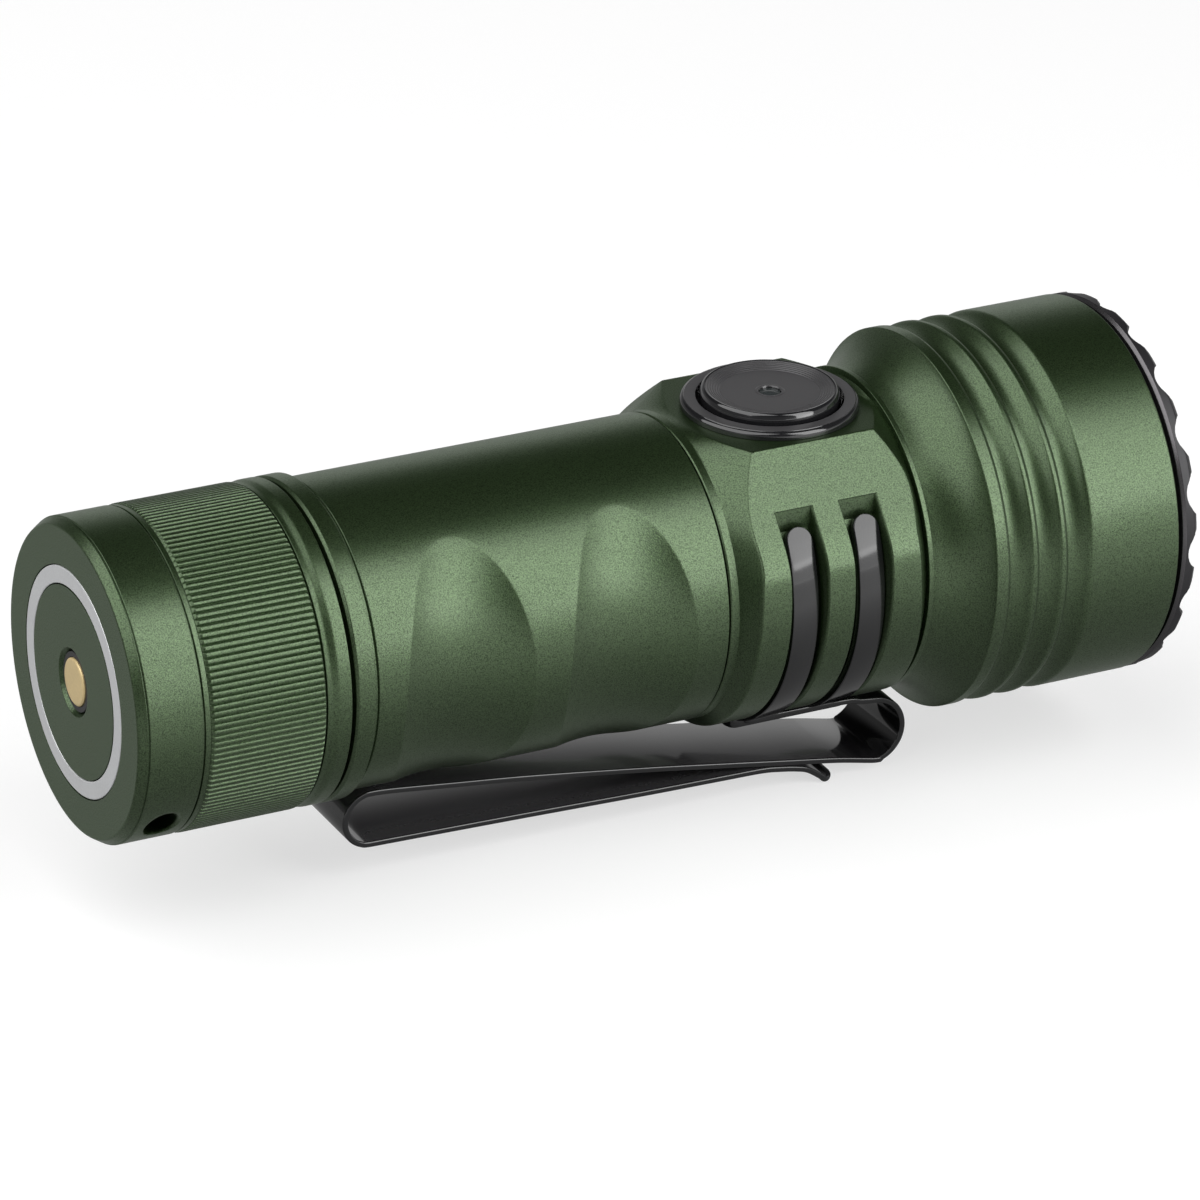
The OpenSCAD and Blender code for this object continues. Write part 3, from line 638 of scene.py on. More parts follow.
class FLASHLIGHT_OT_body_tube(bpy.types.Operator):
    """Builds the body tube: the collar, and a tube whose four scallops are arcs of a wide ring cutter"""

    bl_idname = "flashlight.body_tube"
    bl_label = "Body tube"

    def execute(self, context):
        s = sizes()
        tube = s["tube_r"]
        # the cutter's axis lies this far past the body's, its rim has this radius, and it points this way
        shift, minor, aim = 1.8, 17.3, 101.0
        inner = tube - s["scallop_depth"] + shift
        # tips of the scallops are where the cutter's inner face reaches the tube
        tip = math.degrees(math.acos((inner ** 2 - tube ** 2 - shift ** 2) / (2 * tube * shift)))
        near = np.array([0, 0.05, 0.2, 0.45, 0.8, 1.2, 1.7, 2.4, 3.2, 4.2])
        first, last = aim - tip, aim + tip
        th = around(np.concatenate([first + near, last - near, [first - 0.2, last + 0.2]]))
        side = np.minimum(th, 360 - th)
        away = shift * np.cos((side - aim) * RAD)
        need = np.sqrt(tube ** 2 + 2 * tube * away + shift ** 2)
        half = np.sqrt(np.maximum(minor ** 2 - (inner + minor - need) ** 2, 0)) * (need > inner)
        half = np.maximum(half, 0.16)

        def cut(x, centre):
            """Radius left by the cutter: its own radius at that distance, put back on the body's axis."""
            d = np.clip(np.abs(x - centre), 0, minor * 0.99)
            rho = inner + minor - np.sqrt(minor ** 2 - d ** 2)
            return -away + np.sqrt(np.maximum(away ** 2 + rho ** 2 - shift ** 2, 0))

        # stations between the edges of the scallops, with two more close to each edge
        x1, x2, end = 28.15, 42.35, 50.6
        one = np.ones_like(th)
        edges = [21.4 * one, x1 - half, x1 + half, x2 - half, x2 + half, (end - 0.12) * one]
        wave = (1 - np.cos(np.linspace(0, np.pi, 17))) / 2
        shares = [np.linspace(0, 1, 6), wave, np.linspace(0, 1, 7), wave, np.linspace(0, 1, 6)]
        xs = [edges[-1]]
        for a, b, share in zip(edges[:-1], edges[1:], shares):
            xs += [a + (b - a) * v for v in np.unique(np.round(share, 6))[:-1]]
            if b is not edges[-1]:
                xs += [b - np.minimum(0.09, (b - a) * 0.1), b - np.minimum(0.035, (b - a) * 0.04)]
                xs += [b + 0.035, b + 0.09]
        xs = np.sort(np.stack(xs), axis=0)
        r = soft_min(soft_min(tube * np.ones_like(xs), cut(xs, x1), 0.03), cut(xs, x2), 0.03)
        collar = 13.0
        front = rounded([
            (8.5, 9.6, 0), (8.5, 10.7, 0.1), (8.8, 11.45, 0.1), (NECK_END, 11.45, 0), (18.08, 12.78, 0.03),
            (18.08, 12.8, 0.03), (18.28, collar, 0.06), (19.67, collar, 0.03), (19.69, 12.36, 0.02),
            (20.1, 12.36, 0.03), (20.22, 12.5, 0.05), (21.39, 12.5, 0),
        ])[:-1]
        back = rounded([
            (end - 0.11, tube, 0), (end, tube, 0.05), (end, 11.2, 0), (53, 11.2, 0), (53, 9.4, 0),
            (8.6, 9.4, 0),
        ])[1:]
        xx = np.concatenate([front[:, :1] * one, xs, back[:, :1] * one])
        rr = np.concatenate([front[:, 1:] * one, r, back[:, 1:] * one])
        shell = hoop("body_tube_shell", xx, rr, th[None], finish("anodised green"), 30)
        return settle(shell, "light", "green_aluminium", "body_tube")


# ---------------------------------------------------------------- head


def block_radius(th, s):
    """Distance from the axis to the switch block's section at an angle: the least of the flat top,
    the two side facets and the round part, whose centre sits above the axis."""
    a = np.minimum(th % 360, 360 - th % 360) * RAD
    facet_r, facet_angle, up = 13.95, 48.5, 1.3
    top = s["facet_z"] / np.maximum(np.cos(a), 0.05)
    side = facet_r / np.maximum(np.cos(a - facet_angle * RAD), 0.05)
    bow = up * np.cos(a) + np.sqrt(s["block_r"] ** 2 - (up * np.sin(a)) ** 2)
    return soft_min(soft_min(top, side, 0.05), bow, 0.8)


def block_ends(th, radius):
    """Stations of the block's rear and front edges. Each end face is a steep cone about the body's
    axis and a shallow one about an axis a little lower, so x goes in a straight line with the distance
    from each axis, and the block keeps what lies inside both. The front cone has a knee."""
    y, z = radius * np.sin(th * RAD), radius * np.cos(th * RAD)
    rear = soft_max(52.2 + (radius - 13.3) * 0.25, 52.48 + 1.4 * (np.hypot(y, z + 3.6) - 16.16), 0.2)
    steep = 66.75 + (14.6 - radius) * np.where(radius < 14.6, 0.917, 0.229)
    front = soft_min(steep, 68.33 - 1.5 * (np.hypot(y, z + 3) - 15.42), 0.25)
    return rear, np.minimum(front, 67.8)


class FLASHLIGHT_OT_head(bpy.types.Operator):
    """Builds the head shell: the switch block with its facets and slots, the neck and the ribbed bell"""

    bl_idname = "flashlight.head"
    bl_label = "Head shell"

    def execute(self, context):
        s = sizes()
        th = around([
            31.0, 31.35, 31.63, 31.9, 32.25, 33, 51.6, 52.08, 52.2, 52.3, 52.8, 58.5, 58.7, 61, 63, 65,
            67, 69, 71, 73,
        ])
        body = block_radius(th, s)
        rear, front = block_ends(th, body)
        one = np.ones_like(th)
        rows = []

        def turned(line):
            rows.extend((x * one, r * one) for x, r in line)

        def faced(start, span, radius, shares):
            """Rows of an end face at shares of its span, from the turned ring to the block."""
            knee = 0.1 / np.abs(span)
            edge = np.array([2.2, 1, 0.5, 0, -0.5, -1, -2.2])[:, None] * knee
            ts = np.concatenate([np.array(shares)[:, None] * one, 1 - edge])
            rows.extend((start + span * t, body + (radius - body) * ramp(1 - t, knee)) for t in ts)

        turned(rounded([
            (66.5, 8.6, 0), (61.55, 8.6, 0), (61.55, 9.4, 0), (53.2, 9.4, 0), (53.2, 11.3, 0),
            (50.75, 11.3, 0), (50.75, 12.4, 0.03), (50.85, 12.5, 0.05), (51.45, 12.5, 0),
        ]))
        faced(51.5, rear - 51.5, 12.5, (0.0, 0.08, 0.25, 0.45, 0.65, 0.8))
        first_top = len(rows) - 1
        base, mark = rows[-1][0], 54.8
        rows.extend((base + (mark - base) * v, body) for v in (0.35, 0.7))
        self.slotted(rows, th, body, mark)
        last_top = len(rows)
        faced(68.1, front - 68.1, 12.8, (0.0, 0.2, 0.4, 0.6, 0.78))
        rows[last_top:] = rows[last_top:][::-1]
        turned(rounded(self.bell(s["head_r"], 14.8)))
        xs, rs = (np.stack(part) for part in zip(*rows))
        pts = polar(xs, rs, th[None]).reshape(-1, 3)
        n, cols = xs.shape
        # round hole in the flat top for the switch, with a flat floor
        facet, hole_angle = s["facet_z"], 30.01
        j_right = int(np.searchsorted(th, hole_angle)) - 1
        j_left = -(cols - int(np.searchsorted(th, 360.0 - hole_angle)))
        loop_i, loop_j, inside = window(n, cols, first_top, last_top, j_left, j_right)
        faces = grid_faces(n, cols)
        faces = faces[~inside[: n - 1].ravel()]
        ids = loop_i * cols + loop_j % cols
        ring0 = pts[ids]
        steps, radii = (0.35, 0.7), [6.72, 6.64, 6.6, 6.6, 6.6]
        rings = to_circle(ring0[:, :2], np.array([SWITCH_X, 0.0]), radii, [*steps, 1.0])
        lifts = [ring0[:, 2] + (facet - ring0[:, 2]) * share for share in steps]
        lifts += [np.full(len(ids), z) for z in (facet, facet - 0.02, facet - 0.1, 11.0, 9.9)]
        layers = [np.column_stack([ring, lift]) for ring, lift in zip(rings, lifts)]
        m, first = len(ids), len(pts)
        levels = [ids] + [first + k * m + np.arange(m) for k in range(len(layers))]
        pts = np.concatenate([pts] + layers + [[[SWITCH_X, 0, 9.9], [66.5, 0, 0], [69.5, 0, 0]]])
        floor, ring = len(pts) - 3, np.arange(cols)
        sets = [faces, stitch(levels), fan(levels[-1], floor, True), fan(ring, floor + 1)]
        sets.append(fan((n - 1) * cols + ring, floor + 2, True))
        shell = make("head_shell_outer", pts, sets, finish("anodised green"), 32)
        return settle(shell, "light", "green_aluminium", "head_shell")

    def slotted(self, rows, th, body, mark):
        """Rows over the block from a station on, with two slots cut down its sides. A slot's floor runs
        down from the facet to the band's seat, and its front wall leans outward near the top."""
        side = np.minimum(th, 360 - th)
        beside = np.maximum(SLOT_TOP - side, 0) * body * RAD
        floor = np.maximum(12.85, 13.86 - (side - SLOT_TOP) * 0.16)
        stations = [(mark, 0)]
        for (lo, hi), more in zip(SLOTS, ((59.5, 60.3), (65.0,))):
            stations += [(lo + d, 0) for d in (-0.12, -0.05, -0.001, 0.001, 0.06)] + [((lo + hi) / 2, 0)]
            stations += [(hi - 0.2, 0), (hi - 0.17, 0), (hi - 0.165, 1), (hi + 0.001, 0), (hi + 0.05, 0)]
            stations += [(hi + 0.12, 0)] + [(x, 0) for x in more]
        for x, lean in stations:
            inside = (side > SLOT_TOP) & any(lo < x < hi for lo, hi in SLOTS)
            edge = np.minimum(*(np.hypot(max(lo - x, x - hi, 0.0), beside) for lo, hi in SLOTS))
            rounding = np.maximum(0.05 - edge, 0) * 0.7
            seat = np.maximum(floor, body - 0.42) if lean else floor
            rows.append((x * np.ones_like(th), np.where(inside, seat, body - rounding)))

    def bell(self, crest, groove):
        """Outline of the bell as (x, r, cut) corners: a narrow ring, the cove, three crests with arcs
        between them, the plain cylinder, and the way back inside."""
        line = [(68.12, 12.79, 0), (68.16, 13.3, 0.05), (68.6, 13.3, 0.05), (68.66, 12.61, 0.03)]
        line += swing((67.846, 18.648), 6.03, 14.2, 58.4, 12)
        line += [(73.05, crest, 0.07), (74.05, crest, 0.06), (74.3, crest - 0.13, 0.06)]
        line += [(74.4, groove + 0.15, 0.05), (74.56, groove, 0.06)]
        cove = 2.04
        for x0, flat, end in ((74.56, 76.7, 77.21), (77.21, 79.36, 79.9)):
            drop = flat + 0.26
            line += swing((x0 + 0.14, groove + cove), cove, 4, 53, 8)
            line += [(x0 + 1.88, crest, 0.06), (flat, crest, 0.05), (drop, crest - 0.14, 0.05)]
            line += [(drop + 0.1, groove + 0.15, 0.05), (end, groove, 0.06)]
        line += swing((80.04, groove + cove), cove, 4, 48, 8)
        return line + [
            (81.85, crest, 0.2), (89.8, crest, 0.05), (89.9, crest - 0.1, 0.05), (89.9, 14.6, 0.03),
            (84.4, 14.6, 0), (84.4, 13.8, 0), (74.2, 13.8, 0), (70.2, 11.9, 0), (69.5, 11.9, 0),
        ]


class FLASHLIGHT_OT_bezel(bpy.types.Operator):
    """Builds the bezel, whose front edge is lowered by round cuts along its radii"""

    bl_idname = "flashlight.bezel"
    bl_label = "Bezel"

    def execute(self, context):
        s = sizes()
        count, br = s["bezel_scallops"], s["bezel_r"]
        # radius of the round cutter, station of its axis, and stations of the bezel's two edges
        cut_r, cut_x, front_x, back_x = 1.86, 92.68, 91.9, 90.6
        line = rounded([
            (88.5, 13, 0), (88.5, 14.5, 0), (90.36, 14.5, 0), (90.36, br - 0.26, 0.03), (back_x, br, 0.03),
            (91.36, br, 0.12), (front_x, br - 0.6, 0.1), (front_x, 13.45, 0.12), (91.2, 13.05, 0.1),
        ], True)
        # the outline gets a point every 0.16 mm where the cutter reaches
        fine = [line[:1]]
        for a, b in zip(line, np.roll(line, -1, 0)):
            steps = max(1, int(np.linalg.norm(b - a) / 0.16)) if min(a[0], b[0]) > back_x else 1
            fine.append(a + (b - a) * np.linspace(0, 1, steps + 1)[1:, None])
        line = np.concatenate(fine)[:-1]
        x, r = line[:, :1], line[:, 1:]
        # angles: shares of each cut's half width, then shares of the crest beside it
        valley = np.array([-1.0, -0.97, -0.88, -0.7, -0.45, -0.2, 0, 0.2, 0.45, 0.7, 0.88, 0.97])
        crest = np.array([0.0, 0.03, 0.1, 0.3, 0.5, 0.7, 0.9, 0.97])
        pitch = 360.0 / count
        edge = np.degrees(np.arcsin(math.sqrt(cut_r ** 2 - (cut_x - front_x) ** 2) / r))
        one = np.concatenate([valley * edge, edge + crest * (pitch - 2 * edge)], 1)
        th = np.concatenate([one + k * pitch for k in range(count)], 1)
        lateral = r * np.sin(((th + pitch / 2) % pitch - pitch / 2) * RAD)
        # the front edge is the lower of the outline and of the cutter's circle across the radius
        limit = cut_x - np.sqrt(np.maximum(cut_r ** 2 - lateral ** 2, 0))
        limit = limit + np.where(np.abs(lateral) > cut_r, 9.0, 0.0)
        front = soft_min(np.broadcast_to(x, th.shape), limit, 0.14)
        xx = np.where(x > back_x + 0.05, front, x)
        piece = hoop("bezel_ring", xx, r, th, finish("black anodised bezel"), 45)
        # the chamfer at its back edge gets a lighter, more metallic finish: a painted highlight that stands
        # in for the bright stripe it shows
        piece.data.materials.append(finish("bezel chamfer highlight"))
        mid = places(piece.data.polygons, "center")
        chamfer_highlight = (mid[:, 0] > 90.362) & (mid[:, 0] < back_x) & (np.hypot(mid[:, 1], mid[:, 2]) > br - 0.27)
        piece.data.polygons.foreach_set("material_index", chamfer_highlight.astype(np.int32))
        return settle(piece, "light", "bezel_black", "bezel")


class FLASHLIGHT_OT_reflector(bpy.types.Operator):
    """Builds the reflector: r squared grows with distance from the focus, as in a parabola"""

    bl_idname = "flashlight.reflector"
    bl_label = "Reflector"

    def execute(self, context):
        focus, at = 2.586, 71.9
        x = np.linspace(73.3, 85.4, 40)
        r = np.sqrt(4 * focus * (x - at + focus))
        back, wall = 36, 0.7
        line = np.concatenate([
            [[73.3, 3.0], [72.7, 3.0], [72.7, 7.1]], np.stack([x[:back], r[:back] + wall], -1),
            [[84.45, 13.2], [84.45, 14.45], [85.4, 14.45]], np.stack([x, r], -1)[::-1],
        ])
        bowl = lathe("reflector_bowl", line, finish("mirror coat"), 192)
        return settle(bowl, "light", "mirror", "reflector")


# ---------------------------------------------------------------- switch


class FLASHLIGHT_OT_switch(bpy.types.Operator):
    """Builds the switch flange, the dished button with its fine rings and the indicator lens"""

    bl_idname = "flashlight.switch"
    bl_label = "Switch"

    def execute(self, context):
        z, black = sizes()["facet_z"], finish("gloss black")
        flange = rounded([
            (11.2, 5.95, 0), (13.14, 5.95, 0.03), (13.14, 6.86, 0.03), (13.08, 6.9, 0.01),
            (13.06, 6.94, 0.01), (13.02, 7.06, 0.08), (12.84, 7.2, 0.1), (z + 0.02, 7.21, 0.02),
            (z + 0.02, 6.55, 0), (11.2, 6.55, 0),
        ], True)
        piece = upright(lathe("switch_flange_ring", flange[::-1], black, 160), SWITCH_X)
        self.satin(piece, 13.12, 6.9)
        settle(piece, "light", "grey_metal", "switch_flange")
        # fine rings: the dish falls as a cone and carries six small grooves
        grooves, fall, groove = 6, 0.36, 0.04
        t = np.linspace(0, 1, 49)
        dish = 13.93 - fall * t - groove * (0.5 - 0.5 * np.cos(t * grooves * 2 * np.pi)) * (t < 0.99)
        rings = np.stack([dish, 5.12 - 1.2 * t], -1)
        outer = rounded([
            (12.6, 0, 0), (12.6, 4.9, 0), (10.65, 4.9, 0), (10.65, 6.4, 0), (11.1, 6.4, 0),
            (11.1, 5.6, 0), (13.5, 5.6, 0.05), (13.84, 5.48, 0.12), (13.97, 5.3, 0.08),
            (13.93, 5.14, 0.04), (13.93, 5.13, 0),
        ])
        inner = rounded([
            (*rings[-1], 0), (13.57, 3.84, 0.03), (13.57, 1.2, 0.03), (13.61, 1.12, 0.03),
            (13.61, 0.98, 0.03), (13.5, 0.9, 0.04), (13.4, 0.88, 0), (13.38, 0, 0),
        ])[1:]
        line = np.concatenate([outer, rings, inner])[::-1]
        button = upright(lathe("switch_button_cap", line, black, 160, closed=False, sharp=60), SWITCH_X)
        self.satin(button, 13.52, 5.16)
        settle(button, "button", "button_rubber", "switch_button")
        # the lens in its middle is a shallow dome
        t = np.linspace(1, 0, 9)
        dome = np.stack([13.52 - 0.1 * t ** 2, 0.6 * t], -1)
        line = np.concatenate([[[12.62, 0], [12.62, 0.86], [13.41, 0.86]], dome])[::-1]
        eye = lathe("switch_indicator", line, finish("smoked lens"), 64, closed=False)
        return settle(upright(eye, SWITCH_X), "button", "plastic_black", "indicator_lens")

    def satin(self, piece, above, within):
        """Gives the satin grey to the faces whose corners all lie over a height and inside a radius."""
        mesh = piece.data
        co = places(mesh.vertices)
        far = (co[:, 2] < above - 0.001) | (np.hypot(co[:, 0] - SWITCH_X, co[:, 1]) > within + 0.001)
        corner, start = np.empty(len(mesh.loops), int), np.empty(len(mesh.polygons), int)
        mesh.loops.foreach_get("vertex_index", corner)
        mesh.polygons.foreach_get("loop_start", start)
        mesh.materials.append(finish("satin dark grey"))
        mesh.polygons.foreach_set("material_index", 1 - np.maximum.reduceat(far[corner].astype(int), start))
        mesh.update()


# ---------------------------------------------------------------- clip


def smooth_path(points, step=0.2):
    """A smooth curve through points: cubic pieces whose slope at a point is half the chord between its
    neighbours, sampled at even steps."""
    p = np.asarray(points, float)
    ext = np.concatenate([[2 * p[0] - p[1]], p, [2 * p[-1] - p[-2]]])
    length = np.linalg.norm(np.diff(p, axis=0), axis=1)
    out = []
    for k in range(len(p) - 1):
        t = np.linspace(0, 1, max(2, int(length[k] / step) + 1), endpoint=False)[:, None]
        a, b, c, d = ext[k : k + 4]
        square, cube = 2 * a - 5 * b + 4 * c - d, 3 * b - 3 * c + d - a
        out.append(0.5 * (2 * b + (c - a) * t + square * t ** 2 + cube * t ** 3))
    return np.concatenate(out + [p[-1:]])


def bend(centre, radius, a0, a1, n):
    """Points of an arc in the XZ plane: x = cx + R cos a, z = cz + R sin a, a in degrees."""
    a = np.linspace(a0, a1, n) * RAD
    return np.stack([centre[0] + radius * np.cos(a), centre[1] + radius * np.sin(a)], -1)


def section(lip, thick):
    """Outline of a strip's section, whose corners are quarter circles of the lip's radius: the side of
    each point (1 or -1), how far it lies past the end of the flat, and its height."""
    q = np.linspace(0, np.pi / 2, CORNER)
    arc = np.stack([np.sin(q), np.cos(q)], -1) * lip
    corners = ((1, 1, arc), (1, -1, arc[::-1]), (-1, -1, arc), (-1, 1, arc[::-1]))
    parts = [(np.full(CORNER, a), c[:, 0] * a, b * (thick / 2 - lip + c[:, 1])) for a, b, c in corners]
    return np.concatenate(parts, axis=1)


def strip(name, path, width, thick, material, ends=(0.9, 0.9), lip=0.13):
    """A flat strip along a path in the XZ plane: a rounded rectangle carried along the path, its
    width drawn in near each end as a quarter circle."""
    path = np.asarray(path, float)
    d = np.gradient(path, axis=0)
    d /= np.linalg.norm(d, axis=1)[:, None]
    normal = np.stack([-d[:, 1], d[:, 0]], -1)
    run = np.concatenate([[0], np.cumsum(np.linalg.norm(np.diff(path, axis=0), axis=1))])
    draw = np.ones(len(path)) * width / 2
    for dist, rad in ((run, ends[0]), (run[-1] - run, ends[1])):
        near = np.clip(1 - dist / rad, 0, 1)
        draw = np.minimum(draw, width / 2 - rad + rad * np.sqrt(np.maximum(1 - near ** 2, 0.0004)))
    side, inset, height = section(lip, thick)
    # y follows the drawn-in width, less the rounded edge; the offset along the normal is the height
    y = side * (draw[:, None] - lip) + inset
    pos = path[:, None] + normal[:, None] * height[:, None]
    pts = np.stack([pos[..., 0], y, pos[..., 1]], -1)
    poles = [[x, 0, z] for x, z in (path[0], path[-1])]
    return capped(name, pts, poles, material, 50, flip=True)


class FLASHLIGHT_OT_clip(bpy.types.Operator):
    """Builds the spring clip: two bands round the head, the plate under it and one folded strip"""

    bl_idname = "flashlight.clip"
    bl_label = "Clip"

    def execute(self, context):
        s = sizes()
        black = finish("gloss black")
        path = np.concatenate([
            # plate, front fold and upper arm
            [[57.0, -13.5], [62.0, -13.5], [66.5, -13.6], [67.8, -13.85]],
            bend((68.9, -16.8), 2.8, 88, -80, 15),
            [[65.75, -18.8], [60.6, -17.95], [55.1, -17.05], [47.9, -15.9], [37.8, -14.45], [30.8, -13.6]],
            [[25.5, -12.98]],
            # tail bend, lower arm and its curled lip
            bend(TAIL_BEND, 2.25, 92, 264, 13),
            [[25.5, -17.4], [30, -17.52], [37.9, -17.74], [48, -18.05], [55.2, -18.21], [58.8, -18.3]],
            [[60.6, -18.53], [62, -18.8], [63.1, -19.15]], bend((64.8, -19.85), 0.45, 205, 350, 7),
        ])
        line = smooth_path(path, 0.25)
        piece = strip("clip_strip", line, s["clip_w"], s["clip_t"], black)
        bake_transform(piece)
        self.weigh(piece)
        self.satin(piece, line)
        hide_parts("clip_arm", "clip_base")
        width = 2.3
        for k, x in enumerate((56.865, 62.835)):
            settle(self.band(f"clip_band_{k + 1}", x, width), "light", "black_metal", "clip_base")
        line = smooth_path([[x, -13.72] for x in (55.9, 58, 61, 64, 66.7)])
        plate = strip("clip_plate", line, 7.0, 0.95, black, (0.8, 0.8), 0.25)
        return settle(plate, "light", "black_metal", "clip_base")

    def satin(self, piece, line):
        """Gives the strip's two flat faces, up to its front fold, a lighter grey than its black: a painted
        sheen that stands in for the light on them.
        """
        mesh = piece.data
        mesh.materials.append(finish("clip face painted sheen"))
        around_it, fold = 4 * CORNER, 66
        row, col = np.divmod(np.arange((len(line) - 1) * around_it), around_it)
        index = np.zeros(len(mesh.polygons), np.int32)
        # painted sheen: the flat faces short of the front fold get the lighter grey, and the rest keeps the
        # strip's black
        index[: len(row)] = (col % (2 * CORNER) == 2 * CORNER - 1) & (line[row, 0] < fold)
        mesh.polygons.foreach_set("material_index", index)

    def weigh(self, piece):
        """Reads the places of the strip's points and does nothing more with them."""
        co = places(piece.data.vertices)

    def band(self, name, x, width):
        """A band bent round the head: a rounded rectangle carried along an arc and rounded at its ends."""
        lip, thick, spread = 0.11, 0.6, 6 * np.linspace(0, 1, 16) ** 1.6
        low = 360 - BAND_TOP
        th = np.concatenate([BAND_TOP + spread, np.arange(BAND_TOP + 8, low - 7.9, 2), low - spread[::-1]])
        arc = np.minimum(th - BAND_TOP, low - th) * RAD * BAND_R
        near = np.clip(1 - arc / (width / 2), 0, 1)
        half = (width / 2 * np.sqrt(np.maximum(1 - near ** 2, 0.003)))[:, None]
        side, inset, height = section(lip, thick)
        xx = x + side * np.maximum(half - lip, 0) + inset * np.minimum(1, half / lip)
        pts = polar(xx, np.broadcast_to(BAND_R + height, xx.shape), th[:, None])
        return capped(name, pts, polar([x, x], BAND_R, [BAND_TOP, low]), finish("semi gloss black"), 50)


# ---------------------------------------------------------------- inner pieces


class FLASHLIGHT_OT_inner(bpy.types.Operator):
    """Gives the inner pieces their finishes"""

    bl_idname = "flashlight.inner"
    bl_label = "Inner pieces"

    def execute(self, context):
        slots = {p["node"]: p["material_slot"] for p in frame["record"]["subparts"]}
        for name, obj in frame["nodes"].items():
            if obj.hide_render:
                continue
            held = obj.data.materials
            mat = finish(SLOT_FINISHES[slots[name]])
            if not held:
                held.append(mat)
            for k in range(len(held)):
                held[k] = mat
        return {"FINISHED"}


# ---------------------------------------------------------------- stage


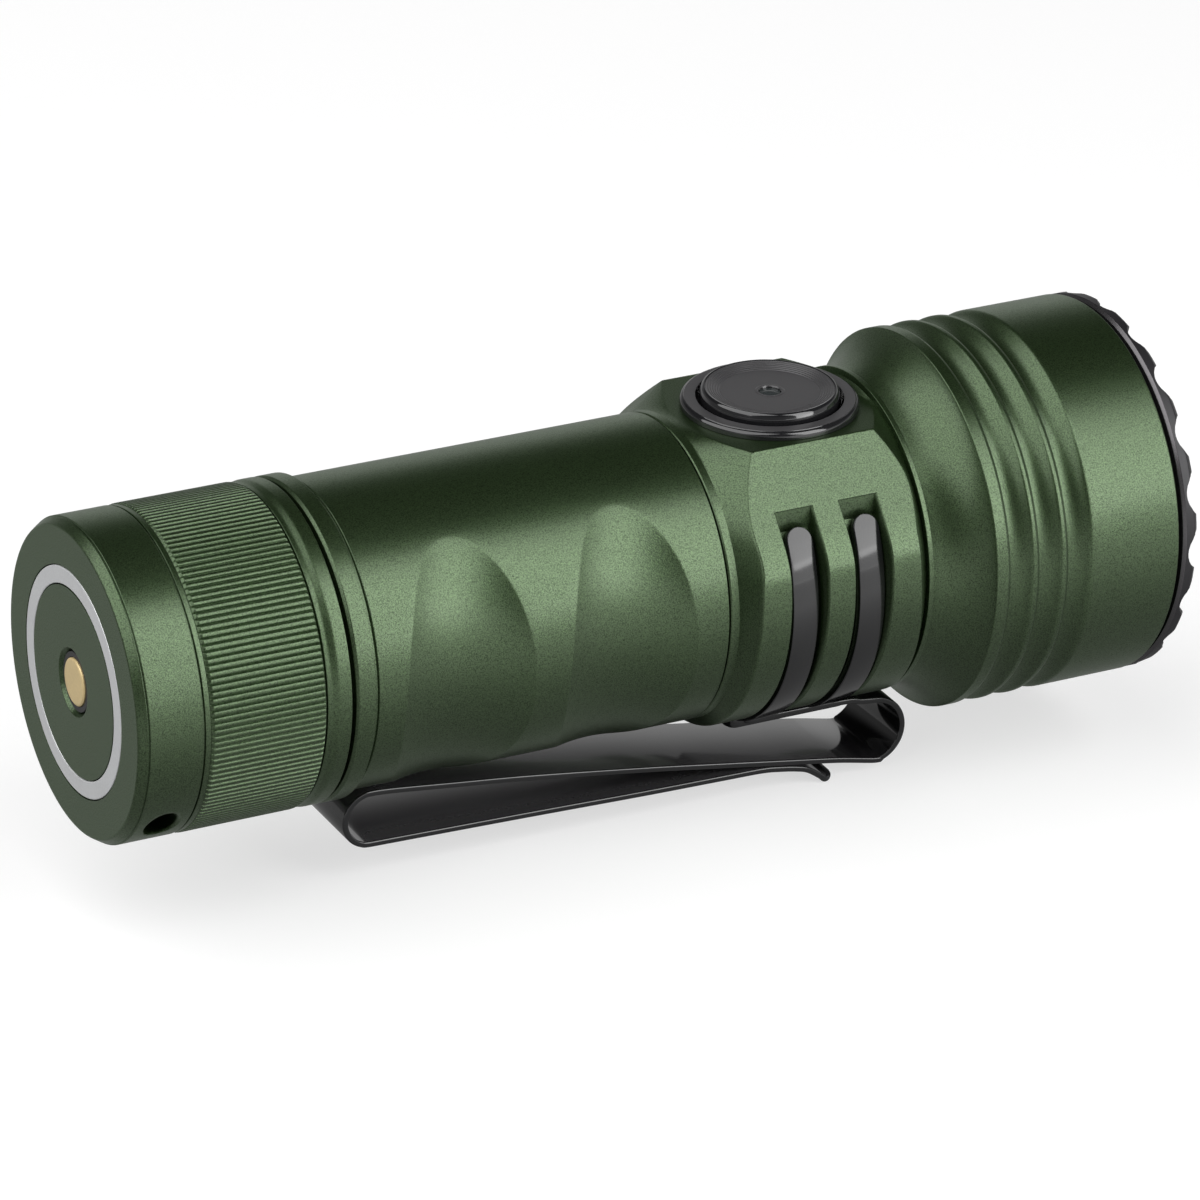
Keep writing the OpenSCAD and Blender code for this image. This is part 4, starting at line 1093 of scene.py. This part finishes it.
class FLASHLIGHT_OT_stage(bpy.types.Operator):
    """Sets the floor, the soft lights, the world and the camera"""

    bl_idname = "flashlight.stage"
    bl_label = "Stage"

    def execute(self, context):
        scene = context.scene
        f = scene.flashlight_finish
        self.floor(CAD_BOX[0][2] / MM)
        self.world(scene)
        centre, away = np.array([0.046, 0, 0]), 0.6
        # name, direction, width, height, power
        lamps = (
            ("key", (0.44, -0.702, 0.589), 0.35, 0.635, f.key),
            ("over_tail", (-0.61, -0.012, 0.79), 0.84, 0.82, f.fill),
            ("low", (0.373, -0.92, 0.088), 0.5, 0.135, f.low),
        )
        for name, aim, wide, high, power in lamps:
            data = bpy.data.lights.new(name, "AREA")
            data.shape, data.size, data.size_y, data.energy = "RECTANGLE", wide, high, power
            back = np.array(aim) / np.linalg.norm(aim)
            right = np.cross([0, 0, 1], back)
            right /= np.linalg.norm(right)
            self.place(name, data, (right, np.cross(back, right), back), centre + back * away)
        scene.camera = self.camera()
        scene.view_settings.view_transform = "Standard"
        return {"FINISHED"}

    def place(self, name, data, axes, pos):
        """Adds an object to the scene at pos, with its own X, Y and Z along three axes."""
        obj = bpy.data.objects.new(name, data)
        turn = Matrix(np.stack(axes, -1).tolist()).to_4x4()
        turn.translation = pos
        obj.matrix_world = turn
        bpy.context.scene.collection.objects.link(obj)
        return obj

    def floor(self, low):
        """A wide flat sheet just under the lowest point: white to the camera, and pale to light. In a
        reflection it glows with painted light that brightens away from the object, as a lit sweep does,
        leaving a painted shade beside and under it. From below it is clear."""
        reach, count, gap = 2000, 9, 0.02
        g = np.linspace(-reach, reach, count)
        gx, gy = np.meshgrid(g, g, indexing="ij")
        pts = np.stack([gx, gy, np.full_like(gx, low - gap)], -1).reshape(-1, 3)
        mat = bpy.data.materials.new("pale floor")
        mat.use_nodes = True
        tree = mat.node_tree
        path = node(tree, "LightPath").outputs
        place = node(tree, "SeparateXYZ", {0: node(tree, "TexCoord").outputs["Object"]}).outputs
        # painted light for reflections only: the glow grows with distance on the object's -Y side and
        # towards the lens, with a little more on its +Y side, and stays dim beside and under the object as
        # a painted shade
        far = ranged(tree, maths(tree, "MULTIPLY", place["Y"], -1), 0.008, 0.085, 0, 0.85, smooth=True)
        along = ranged(tree, place["X"], -0.1, 0.07, 0.4, 1)
        base = ranged(tree, place["Y"], -0.01, 0.012, 0.15, 0.24)
        lit = maths(tree, "MULTIPLY_ADD", far, along, base)
        mirror = maths(tree, "MULTIPLY", lit, path["Is Glossy Ray"])
        seen = maths(tree, "ADD", path["Is Camera Ray"], path["Is Transmission Ray"], clamp=True)
        greys = {"Factor": seen, "A": (0.12, 0.12, 0.12, 1), "B": (0.4, 0.4, 0.4, 1)}
        bsdf = tree.nodes["Principled BSDF"]
        put(tree, bsdf, {
            "Base Color": node(tree, "Mix", greys, data_type="RGBA").outputs["Result"], "Roughness": 0.9,
            "Emission Color": (1, 1, 1, 1),
            "Emission Strength": maths(tree, "MULTIPLY_ADD", seen, 0.62, mirror),
        })
        behind = node(tree, "NewGeometry").outputs["Backfacing"]
        clear = node(tree, "BsdfTransparent").outputs[0]
        pick = node(tree, "MixShader", {0: behind, 1: bsdf.outputs[0], 2: clear})
        put(tree, tree.nodes["Material Output"], {"Surface": pick.outputs[0]})
        make("floor", pts, [grid_faces(count, count, False, False)[:, ::-1]], mat)

    def world(self, scene):
        """A white sweep up to just above the horizon and a dim ceiling over it, brighter towards the
        lens. The camera, and glass, see a plain pale backdrop instead."""
        world = bpy.data.worlds.new("studio")
        scene.world = world
        world.use_nodes = True
        tree = world.node_tree
        place = node(tree, "SeparateXYZ", {0: node(tree, "TexCoord").outputs["Generated"]}).outputs
        rise = ranged(tree, place["Z"], 0.14, 0.52, 0, 1, smooth=True)
        sweep = {"Factor": rise, "A": (0.6, 0.6, 0.6, 1), "B": (0.012, 0.012, 0.013, 1)}
        back = tree.nodes["Background"]
        put(tree, back, {
            "Color": node(tree, "Mix", sweep, data_type="RGBA").outputs["Result"],
            "Strength": ranged(tree, place["X"], -0.1, 0.4, 0.3, 1),
        })
        plain = node(tree, "Background", {"Color": (0.78, 0.78, 0.78, 1)})
        path = node(tree, "LightPath").outputs
        seen = maths(tree, "ADD", path["Is Camera Ray"], path["Is Transmission Ray"], clamp=True)
        pick = node(tree, "MixShader", {0: seen, 1: back.outputs[0], 2: plain.outputs[0]})
        put(tree, tree.nodes["World Output"], {"Surface": pick.outputs[0]})

    def camera(self):
        """A long lens behind and above the tail, looking along the body."""
        data = bpy.data.cameras.new("view")
        data.sensor_width, data.lens = 36.0, 214.81
        data.clip_start, data.clip_end = 0.01, 10
        # the view's right, down and forward axes, and the origin's place along them in millimetres
        right, down, forward = axes = np.array([
            [0.89073, -0.45397, 0.02248], [-0.17891, -0.39563, -0.90082], [0.41784, 0.79837, -0.43362]])
        pos = -axes.T @ np.array([-40.569, 6.346, 551.238]) * MM
        return self.place("view", data, (right, -down, -forward), pos)


class FLASHLIGHT_PT_panel(bpy.types.Panel):
    """Lists the pieces, with the sizes and colours that shape them"""

    bl_idname = "FLASHLIGHT_PT_panel"
    bl_label = "Flashlight"
    bl_space_type = "VIEW_3D"
    bl_region_type = "UI"
    bl_category = "Flashlight"

    def draw(self, context):
        column = self.layout.column(align=True)
        for op in OPERATORS:
            column.operator(op.bl_idname)
        for group in (context.scene.flashlight_sizes, context.scene.flashlight_finish):
            box = self.layout.box()
            for key in type(group).__annotations__:
                box.prop(group, key)


OPERATORS = (
    FLASHLIGHT_OT_tail_cap,
    FLASHLIGHT_OT_knurl,
    FLASHLIGHT_OT_tail_contacts,
    FLASHLIGHT_OT_body_tube,
    FLASHLIGHT_OT_head,
    FLASHLIGHT_OT_bezel,
    FLASHLIGHT_OT_reflector,
    FLASHLIGHT_OT_switch,
    FLASHLIGHT_OT_clip,
    FLASHLIGHT_OT_inner,
    FLASHLIGHT_OT_stage,
)
CLASSES = (FlashlightSizes, FlashlightFinish, *OPERATORS, FLASHLIGHT_PT_panel)


def register():
    for cls in CLASSES:
        bpy.utils.register_class(cls)
    bpy.types.Scene.flashlight_sizes = PointerProperty(type=FlashlightSizes)
    bpy.types.Scene.flashlight_finish = PointerProperty(type=FlashlightFinish)


def unregister():
    del bpy.types.Scene.flashlight_finish
    del bpy.types.Scene.flashlight_sizes
    for cls in reversed(CLASSES):
        bpy.utils.unregister_class(cls)


def main():
    """Registers the add-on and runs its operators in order."""
    register()
    for op in OPERATORS:
        group, name = op.bl_idname.split(".")
        result = getattr(getattr(bpy.ops, group), name)()
        if "FINISHED" not in result:
            raise RuntimeError(f"{op.bl_idname} did not finish")


if __name__ == "__main__":
    main()
